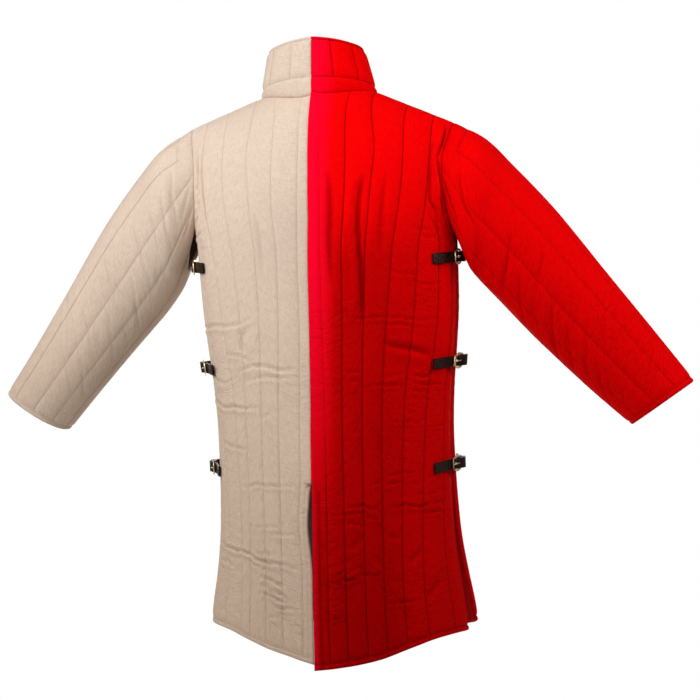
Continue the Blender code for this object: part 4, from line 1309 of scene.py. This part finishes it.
def sleeveSheet(side, surface):
    grid, push = surface
    plan = sleevePlan
    lines, steps, band = plan["lines"], plan["steps"], plan["band"]
    rowMarks = rowMarksOf(grid, 0)
    columnMarks = stepped([2 + 3 * k for k in range(lines + 1)], [steps] * lines)
    sheet = Sheet(side, grid, push, rowMarks, columnMarks, loop=True)
    sheet.lines = [steps * k for k in range(lines)]
    sheet.number = (columnMarks - 2) / 3
    sheet.fullness = plan["fullness"][side]
    around = 2 * coat["armSteps"]
    turn = columnMarks % around     # 0 is the top of the arm, half way round is its underside
    fromTop = np.minimum(turn, around - turn)[None, :]
    puff, near = sheet.channels([steps * k for k in range(lines + 1)])
    # plain strip over the shoulder, sewn down along its outer edge
    strip = fade(fromTop, *plan["bandReach"])
    inBand = strip * (sheet.down < band)
    puff = puff * climb(np.abs(sheet.down - band), quilt["lineFade"]) ** strip
    flat = plan["bandPuff"] * climb(sheet.down, 0.006) * climb(band - sheet.down, 0.006)
    puff = np.where(inBand > 0, puff * (1 - inBand) + flat * inBand, puff) * climb(sheet.down, 0.008)
    near = np.where(inBand > 0.5, 1.0, near)
    sheet.cuffStitch = int(np.argmin(np.abs(rowMarks - plan["cuffStitch"])))
    toCuff = sheet.down[sheet.cuffStitch:sheet.cuffStitch + 1] - sheet.down
    cuff = rolledHem(toCuff, plan["cuffWide"])
    sheet.puff = np.where(toCuff >= 0, puff * climb(toCuff, quilt["lineFade"]), cuff)
    sheet.near = nearest(near, np.abs(sheet.down - band) + (1 - strip), sheet.down, np.abs(toCuff))
    toEnd = sheet.down[-1:] - sheet.down
    sheet.free = np.minimum(toEnd, sheet.down + np.clip(plan["openFrom"] - fromTop, 0, None) * 0.01)
    sheet.hold = holding(sheet.near, 0.65, 0.004, np.minimum(toEnd, sheet.down), 0.010)
    sheet.marked = np.where((strip > 0) & (sheet.down < band + 0.004), 1.0, plan["marked"][side])
    sheet.band = int(np.argmin(np.abs(sheet.down[:, 0] - band)))
    sheet.fromTop = fromTop[0]
    return sheet


# the same for the sleeves, with (line number round the arm, distance down it)
sleeveCreases = {
    "left": (
        (2.9, 4.0, ((1.2, 46), (2.0, 62), (2.8, 60))),
        (2.6, 4.0, ((1.4, 78), (2.2, 92), (3.1, 90))),
        (2.6, 3.6, ((2.1, 10), (2.5, 30), (2.7, 52))),
        (2.4, 3.6, ((2.9, 10), (3.2, 28), (3.2, 48))),
        (1.8, 4.5, ((1.6, 118), (2.6, 128))),
        (1.6, 5.0, ((1.2, 160), (2.3, 172), (3.2, 168))),
        (2.0, 5.0, ((2.1, 205), (3.2, 222), (4.1, 214))),
        (1.6, 5.0, ((1.1, 250), (2.2, 262))),
        (2.0, 5.0, ((2.1, 285), (3.3, 300), (4.2, 292))),
        (1.8, 5.0, ((1.3, 335), (2.4, 350), (3.3, 345))),
        (2.0, 5.0, ((2.2, 378), (3.2, 390), (4.0, 384))),
        (1.4, 5.0, ((0.2, 370), (1.3, 392))),
        (1.6, 5.0, ((1.4, 415), (2.4, 425), (3.4, 420))),
        (1.8, 5.0, ((5.2, 130), (6.3, 140), (7.2, 132))),
        (1.6, 5.0, ((5.4, 240), (6.6, 252), (7.6, 246))),
        (1.6, 5.0, ((5.2, 330), (6.4, 342), (7.3, 336))),
    ),
    "right": (
        (3.0, 4.6, ((1.6, 45), (2.1, 78), (2.2, 112))),
        (5.4, 3.6, ((2.25, 4), (2.55, 26), (2.75, 60))),
        (5.0, 3.6, ((2.75, 3), (3.05, 22), (3.15, 50))),
        (4.4, 3.8, ((3.25, 3), (3.5, 20), (3.55, 44))),
        (2.0, 5.0, ((1.5, 175), (2.4, 188), (3.3, 180))),
        (1.8, 5.0, ((2.2, 215), (3.2, 228), (4.1, 220))),
        (1.6, 5.0, ((1.2, 245), (2.3, 258))),
        (2.2, 5.5, ((1.9, 290), (2.9, 305), (4.0, 296))),
        (1.8, 5.0, ((2.2, 335), (3.1, 346), (4.0, 340))),
        (1.6, 5.0, ((1.8, 372), (2.8, 384), (3.7, 378))),
        (1.8, 5.0, ((2.4, 410), (3.4, 420), (4.2, 414))),
        (1.8, 5.0, ((5.2, 120), (6.3, 132), (7.2, 126))),
        (1.6, 5.0, ((5.4, 225), (6.6, 240), (7.6, 232))),
        (1.6, 5.0, ((5.2, 345), (6.4, 356), (7.3, 350))),
    ),
}


def makeSleeve(side, surface, seed):
    sheet = sleeveSheet(side, surface)
    for depth, wide, points in sleeveCreases[side]:
        spots = []
        for number, far in points:
            column = int(round(np.interp(number, sheet.number, np.arange(len(sheet.number)))))
            row = int(np.argmin(np.abs(sheet.down[:, column] - far / 1000)))
            spots.append((float(sheet.across[row, column]), far / 1000))
        sheet.trough(depth / 1000, wide / 1000, spots, sheet.across, sheet.down)

    def amount(row, column):
        under = float(sheet.fromTop[column % len(sheet.fromTop)]) / 15
        return 0.001 * (0.15 + 0.95 * under**1.6)

    puckers(sheet, sheet.lines, amount, seed, spacing=(0.010, 0.022))
    name = "sleeve_" + side
    piece, outer = sewShell(name, sheet)
    columns = [(c, sheet.band if sheet.fromTop[c] < 6.1 else 2, sheet.cuffStitch) for c in sheet.lines]
    count = outer.shape[1] - 1
    top = int(np.argmin(sheet.fromTop))
    reach = int(np.sum(sheet.fromTop < 5.8) / 2)
    rows = [(sheet.cuffStitch, np.arange(count + 1)),
            (sheet.band, np.arange(top - reach, top + reach + 1) % count)]
    return piece, sheetThreads(name, sheet, outer, columns, rows, sleeveThreads[side])


for number, side in enumerate(("left", "right")):
    allCloth["sleeve_" + side] = makeSleeve(side, halves[side]["sleeve"], 40 + number)


collarPlan = {      # coarse rows and columns, with the fine steps between them
    "rows": (0, 2, 6.5, 7), "rowSteps": (9, 17, 5),         # neck seam, line above it, line near the top, top
    "columns": (0, 2, 4.5, 7, 9.5, 11.5, 14), "columnSteps": (11, 13, 13, 13, 12, 16),
    "bandPuff": 0.75, "topWide": 0.009, "pull": 0.0006,
}


def makeCollar(side, surface, seed):
    grid, push = surface
    plan = collarPlan
    rowMarks = stepped(plan["rows"], plan["rowSteps"], 0.4)
    columnMarks = stepped(plan["columns"], plan["columnSteps"], 0.5)
    sheet = Sheet(side, grid, push, rowMarks, columnMarks)
    sheet.lines = [int(np.argmin(np.abs(columnMarks - b))) for b in plan["columns"]]
    lineRow = plan["rowSteps"][0]
    topRow = lineRow + plan["rowSteps"][1]
    puff, near = sheet.channels(sheet.lines, evenPuff=True)
    toLine = sheet.down - sheet.down[lineRow:lineRow + 1]
    toTop = sheet.down[topRow:topRow + 1] - sheet.down
    band = plan["bandPuff"] * climb(sheet.down, 0.008) * climb(-toLine, 0.008)
    body = puff * climb(toLine, 0.010) * climb(toTop, 0.010)
    sheet.puff = np.where(toLine < 0, band, np.where(toTop < 0, rolledHem(toTop, plan["topWide"]), body))
    toEdge = sheet.across[:, -1:] - sheet.across
    ends = np.minimum(sheet.across, toEdge)
    near = np.where(toLine < -0.001, ends, near)
    sheet.near = nearest(near, np.abs(toLine) + 0.0008, np.abs(toTop), sheet.down + 0.0009)
    toEnd = sheet.down[-1:] - sheet.down
    sheet.free = np.minimum(toEnd, toEdge)
    sheet.hold = holding(sheet.near, 0.40, 0.005, nearest(toEnd, sheet.down, ends), 0.008)
    puckers(sheet, sheet.lines[1:-1], lambda row, column: plan["pull"], seed)
    name = "collar_" + side
    piece, outer = sewShell(name, sheet)
    columns = [(c, lineRow, topRow) for c in sheet.lines[1:-1]]
    rows = [(row, np.arange(1, outer.shape[1] - 2)) for row in (lineRow, topRow)]
    return piece, sheetThreads(name, sheet, outer, columns, rows)


for number, side in enumerate(("left", "right")):
    allCloth["collar_" + side] = makeCollar(side, halves[side]["collar"], 60 + number)
print("cloth ready")

# bar tack over the top of the back slit: x and height from its middle, metres
tack = {
    "middle": (-0.0005, -0.6630),
    "threads": (
        ((-0.0052, 0.0016), (0.0046, -0.0004)), ((-0.0046, -0.0004), (0.0050, -0.0022)),
        ((-0.0040, -0.0020), (0.0056, 0.0010)), ((-0.0048, 0.0006), (0.0040, 0.0026)),
        ((-0.0050, 0.0016), (-0.0078, 0.0052)), ((-0.0046, 0.0000), (-0.0092, -0.0046)),
        ((0.0052, -0.0016), (0.0082, -0.0058)), ((0.0052, 0.0008), (0.0088, 0.0028)),
    ),
    "half": 0.00022, "lift": 0.0005, "thick": 0.0004,
}


def makeTack(side, picked, look):
    # short threads across the seam, laid on the cloth beneath them
    points = np.concatenate([allCloth["back_" + k][2][:, :8].reshape(-1, 3) for k in ("left", "right")])
    near = points[np.abs(points[:, 2] - tack["middle"][1]) < 0.014]
    mesh = bmesh.new()
    for (x0, z0), (x1, z1) in picked:
        dx, dz = np.array((x1 - x0, z1 - z0)) / math.hypot(x1 - x0, z1 - z0) * tack["half"]
        for v, edge, i in laidGrid(mesh, 2, 6):
            t, way = i / 5, 2 * edge - 1
            x = tack["middle"][0] + x0 + (x1 - x0) * t - dz * way
            z = tack["middle"][1] + z0 + (z1 - z0) * t + dx * way
            far = np.hypot(near[:, 0] - x, near[:, 2] - z)
            close = near[far < max(0.0030, float(far.min()) + 0.0005)]
            v.co = (x, close[:, 1].max() + tack["lift"] + 0.0005 * math.sin(math.pi * t), z)
    finishThreads("slit_tack_" + side, mesh, look, tack["thick"])


makeTack("left", tack["threads"][:6], tackThread)
makeTack("right", tack["threads"][6:], redThread)


# leather and brass
def leatherLook():
    material, shader, node, put = startLook("dark_leather_grain", Specular_IOR_Level=0.085)
    place = node("TexCoord", {}).outputs["Object"]
    grain = node("TexVoronoi", {"Vector": place, "Scale": 900.0},
                 feature="DISTANCE_TO_EDGE").outputs["Distance"]
    patch = noiseOf(node, place, 90.0, 4.0)
    put(shader.inputs["Base Color"],
        rampOf(node, patch, (0.35, (0.0060, 0.0022, 0.0015)), (0.72, (0.0230, 0.0080, 0.0046))))
    put(shader.inputs["Roughness"], ranged(node, patch, 0.0, 1.0, 0.30, 0.52))
    bumps = node("Bump", {"Height": grain, "Strength": 0.4, "Distance": 0.0003})
    put(shader.inputs["Normal"], bumps.outputs["Normal"])
    return material


def brassLook():
    material, shader, node, put = startLook("pale_brass_cast", Metallic=1.0)
    patch = noiseOf(node, node("TexCoord", {}).outputs["Object"], 240.0, 5.0)
    put(shader.inputs["Base Color"],
        rampOf(node, patch, (0.30, (0.80, 0.52, 0.22)), (0.62, (1.0, 0.86, 0.56))))
    put(shader.inputs["Roughness"], ranged(node, patch, 0.0, 1.0, 0.20, 0.42))
    bumps = node("Bump", {"Height": patch, "Strength": 0.25, "Distance": 0.0002})
    put(shader.inputs["Normal"], bumps.outputs["Normal"])
    return material


# straps and buckles: g runs along the strap, below zero behind the side opening, v up it, lift off the cloth
fastening = {
    # height, and how much of the stand-off the row takes
    "places": {"upper": (-0.288, 0.4), "middle": (-0.464, 1.0), "lower": (-0.638, 1.0)},
    "lean": 0.08,
    "standOff": (
        (-0.062, 0.0), (-0.045, 0.0002), (-0.040, 0.0014), (-0.028, 0.0050), (-0.014, 0.0092),
        (-0.005, 0.0100), (0.006, 0.0075), (0.017, 0.0030), (0.026, 0.0004), (0.036, 0.0),
    ),
}
strapLeather = {
    "path": (
        (-0.0860, 0.0037), (-0.0740, 0.0037), (-0.0620, 0.0037), (-0.0510, 0.0042), (-0.0395, 0.0057),
        (-0.0345, 0.0068), (-0.0260, 0.0099), (-0.0170, 0.0129), (-0.0100, 0.0132), (-0.0030, 0.0121),
        (0.0030, 0.0107), (0.0080, 0.0097), (0.0120, 0.0093),
    ),
    "half": 0.0090, "thick": 0.0024, "step": 0.0015, "tip": 0.013, "corner": 0.0022,
    "slot": 0.0017, "opening": (-0.0345, -0.0215), "sewn": (-0.0838, -0.0625),
}
chapeLeather = {
    "path": (
        (0.0340, 0.0062), (0.0210, 0.0062), (0.0070, 0.0066), (-0.0060, 0.0083), (-0.0105, 0.0091),
        (-0.0150, 0.0093), (-0.0169, 0.0085), (-0.0176, 0.0066), (-0.0169, 0.0047), (-0.0150, 0.0040),
        (-0.0105, 0.0040), (0.0050, 0.0040), (0.0200, 0.0040), (0.0340, 0.0040),
    ),
    "half": 0.0088, "thick": 0.0016, "step": 0.0009, "tip": 0.0, "corner": 0.0020,
    "slot": 0.0019, "opening": (-0.0200, -0.0095), "sewn": (0.0315, 0.0110),
}


def sideSpot(place, g, v, lift):
    top, share = fastening["places"][place]
    height = top + v + fastening["lean"] * g
    lift += between(fastening["standOff"], g)[0] * share

    def spot(g):
        face = "back" if g < 0 else "front"
        ring = bodyRing(face, height)
        x, y = along(ring, ring[-1][0] - abs(g))
        return x, coat["middle"] + (y if face == "back" else -y)

    a, b, p = spot(g - 0.006), spot(g + 0.006), spot(g)
    size = math.hypot(b[0] - a[0], b[1] - a[1])
    tx, ty = (b[0] - a[0]) / size, (b[1] - a[1]) / size
    return np.array((p[0] - ty * lift, p[1] + tx * lift, height))


def smoothPath(path, step):
    # even points along a drawn path, the way it runs, and the metres along it
    far = [0.0]
    for a, b in zip(path, path[1:]):
        far.append(far[-1] + math.hypot(b[0] - a[0], b[1] - a[1]))
    rows = [(f, *p) for f, p in zip(far, path)]
    marks = np.linspace(0, far[-1], max(2, round(far[-1] / step)) + 1)
    points = np.array([between(rows, m) for m in marks])
    return marks, points, unit(np.gradient(points, axis=0))


def placeOnSide(mesh, place, mirror, spots):
    # spots: vertex to (g, v, lift)
    verts = list(spots)
    points = hang(np.array([sideSpot(place, *spots[v]) for v in verts]), mirror)
    for v, p in zip(verts, points):
        v.co = p
    bmesh.ops.recalc_face_normals(mesh, faces=mesh.faces)


def finishing(piece, kind, **settings):
    modifier = piece.modifiers.new(kind.lower(), kind)
    for key, value in settings.items():
        setattr(modifier, key, value)


def makeStrip(kind, place, side, cut, look):
    marks, path, _ = smoothPath(cut["path"], cut["step"])
    slot = cut["slot"] / cut["half"]
    shares = [-1, -0.93, -0.86, -0.80, -0.74, -0.5, -slot, slot, 0.5, 0.74, 0.80, 0.86, 0.93, 1]
    mesh = bmesh.new()
    grid, spots = {}, {}
    for v, j, i in laidGrid(mesh, len(shares), len(marks)):
        grid[v] = (i, j)
        wide = 1.0
        for reach, far, power in ((cut["corner"], marks[i], 2.0), (cut["corner"], marks[-1] - marks[i], 2.0),
                                  (cut["tip"], marks[-1] - marks[i], 1.7)):
            if reach and far < reach:
                curve = (1 - (1 - far / reach)**power)**(1 / power)
                share = 1.0 if reach == cut["tip"] else cut["corner"] / cut["half"]
                wide = min(wide, 1 - share * (1 - curve))
        spots[v] = (path[i][0], shares[j] * cut["half"] * max(wide, 0.10), path[i][1])
    low, high = cut["opening"]
    gone = []
    for face in mesh.faces:
        corners = [grid[v] for v in face.verts]
        g = sum(path[i][0] for i, j in corners) / 4
        if {j for i, j in corners} == {6, 7} and low < g < high:
            gone.append(face)
    bmesh.ops.delete(mesh, geom=gone, context="FACES")
    placeOnSide(mesh, place, side == "right", {v: spots[v] for v in spots if v.is_valid})
    mesh.verts.index_update()
    tooled = [v.index for v, (i, j) in grid.items() if v.is_valid and j in (3, 10)]
    name = kind + "_" + place + "_" + side
    piece = finishPiece(name + "_leather", mesh, look, name)
    piece.vertex_groups.new(name="edge_line").add(tooled, 1.0, "REPLACE")
    finishing(piece, "SOLIDIFY", thickness=cut["thick"], offset=0.0, use_even_offset=True,
              vertex_group="edge_line", invert_vertex_group=True, thickness_vertex_group=0.62)
    finishing(piece, "BEVEL", width=0.0005, segments=2, limit_method="ANGLE", angle_limit=math.radians(50))


def makeBoxStitches(place, side, cut, kind, look):
    # a box of waxed thread where the leather is sewn down
    first, last = cut["sewn"]
    v = cut["half"] * 0.66
    table = sorted((g, lift) for g, lift in (cut["path"][:4] if kind == "strap" else cut["path"][:3]))

    def run(a, b, lift=None):
        # points from a to b on the leather, or at a set lift off the cloth
        out = []
        for t in np.linspace(0, 1, 14):
            g = a[0] + (b[0] - a[0]) * t
            high = float(np.interp(g, *zip(*table))) + cut["thick"] / 2 if lift is None else lift
            out.append(sideSpot(place, g, a[1] + (b[1] - a[1]) * t, high))
        return np.array(out)

    mesh = bmesh.new()
    mirror = side == "right"
    corners = ((first, -v), (first, v), (last, v), (last, -v))
    for m, n in ((0, 1), (1, 2), (2, 3), (3, 0), (0, 2), (1, 3)):
        a, b = corners[m], corners[n]
        points = run(a, b)
        outward = unit(run(a, b, 0.02) - run(a, b, 0.0))
        beside = np.cross(outward, unit(points[-1] - points[0]))
        sewThread(mesh, hang(points, mirror), hang(beside, mirror, False), hang(outward, mirror, False),
                  step=0.0026, half=0.00035, lift=0.0001)
    finishThreads(kind + "_" + place + "_" + side, mesh, look, 0.0004)


buckleShape = {     # (g, height) round the frame, metres
    "outside": ((-0.0390, -0.0090), (-0.0390, 0.0090), (-0.0260, 0.0142),
                (-0.0138, 0.0126), (-0.0138, -0.0126), (-0.0260, -0.0142)),
    "inside": ((-0.0358, -0.0098), (-0.0358, 0.0098), (-0.0260, 0.0098),
               (-0.0162, 0.0098), (-0.0162, -0.0098), (-0.0260, -0.0098)),
    "middle": -0.0262, "farEnd": -0.035, "bar": (-0.015, 0.0066), "tilt": 0.133,
    "half": 0.0012, "round": 0.0008, "corner": 0.0014, "farCorner": 0.0048,
}


def roundOff(mesh, edges, offset, segments):
    bmesh.ops.bevel(mesh, geom=edges, offset=offset, segments=segments, profile=0.5, affect="EDGES",
                    material=-1)


def makeBuckle(place, side, look):
    # two six-sided loops bridged, thickened, corners and rims rounded, then set on the side of the coat
    shape = buckleShape
    mesh = bmesh.new()
    for key in ("outside", "inside"):
        ring = bmesh.ops.create_circle(mesh, segments=6, radius=1)["verts"]
        ring.sort(key=lambda v: math.atan2(v.co.y, v.co.x))
        outline = sorted(shape[key], key=lambda p: math.atan2(p[1], p[0] - shape["middle"]))
        for v, (g, height) in zip(ring, outline):
            v.co = (g, height, 0)
    bmesh.ops.bridge_loops(mesh, edges=mesh.edges[:])
    pushed = bmesh.ops.extrude_face_region(mesh, geom=mesh.faces[:])["geom"]
    bmesh.ops.translate(mesh, verts=[e for e in pushed if isinstance(e, bmesh.types.BMVert)],
                        vec=(0, 0, 2 * shape["half"]))
    bmesh.ops.translate(mesh, verts=mesh.verts, vec=(0, 0, -shape["half"]))
    bmesh.ops.recalc_face_normals(mesh, faces=mesh.faces)
    for far, offset in ((False, shape["corner"]), (True, shape["farCorner"])):
        upright = [e for e in mesh.edges if abs(e.verts[0].co.z - e.verts[1].co.z) > shape["half"]
                   and (e.verts[0].co.x < shape["farEnd"]) == far]
        roundOff(mesh, upright, offset, 4)
    rims = [e for e in mesh.edges if len(e.link_faces) == 2 and e.calc_face_angle() > 1.0]
    roundOff(mesh, rims, shape["round"], 3)
    g0, lift0 = shape["bar"]
    spots = {v: (v.co.x, v.co.y, lift0 + shape["tilt"] * (g0 - v.co.x) + v.co.z) for v in mesh.verts}
    placeOnSide(mesh, place, side == "right", spots)
    name = "buckle_" + place + "_" + side
    finishPiece(name + "_frame", mesh, look, name)


prongShape = {
    "path": ((-0.0119, 0.0051), (-0.0120, 0.0077), (-0.0138, 0.0095), (-0.0190, 0.0100), (-0.0290, 0.0113),
             (-0.0362, 0.0127), (-0.0410, 0.0125)),
    "radius": 0.00115, "thinTip": 0.70, "sides": 12,
}


def makeProng(place, side, look):
    # a round bar that hooks over the frame's bar and lies across its far side
    shape = prongShape
    marks, path, ways = smoothPath(shape["path"], 0.0009)
    mesh = bmesh.new()
    spots = {}
    for v, j, i in laidGrid(mesh, shape["sides"] + 1, len(marks)):
        turn = 2 * math.pi * j / shape["sides"]
        radius = shape["radius"] * (1 - (1 - shape["thinTip"]) * (marks[i] / marks[-1])**2)
        for far in (marks[i], marks[-1] - marks[i]):
            if far < radius:
                radius *= max(1 - (1 - far / radius)**2, 0.0)**0.5
        off = math.cos(turn) * radius
        spots[v] = (path[i][0] - ways[i][1] * off, math.sin(turn) * radius, path[i][1] + ways[i][0] * off)
    placeOnSide(mesh, place, side == "right", spots)
    bmesh.ops.remove_doubles(mesh, verts=mesh.verts, dist=1e-6)
    bmesh.ops.recalc_face_normals(mesh, faces=mesh.faces)
    name = "prong_" + place + "_" + side
    finishPiece(name + "_bar", mesh, look, name)


leather, brass = leatherLook(), brassLook()
waxedThread = threadLook("waxed_thread", (0.09, 0.06, 0.04))
for side in ("left", "right"):
    for place in fastening["places"]:
        makeStrip("strap", place, side, strapLeather, leather)
        makeStrip("chape", place, side, chapeLeather, leather)
        makeBoxStitches(place, side, strapLeather, "strap", waxedThread)
        makeBoxStitches(place, side, chapeLeather, "chape", waxedThread)
        makeBuckle(place, side, brass)
        makeProng(place, side, brass)
print("straps and buckles ready")
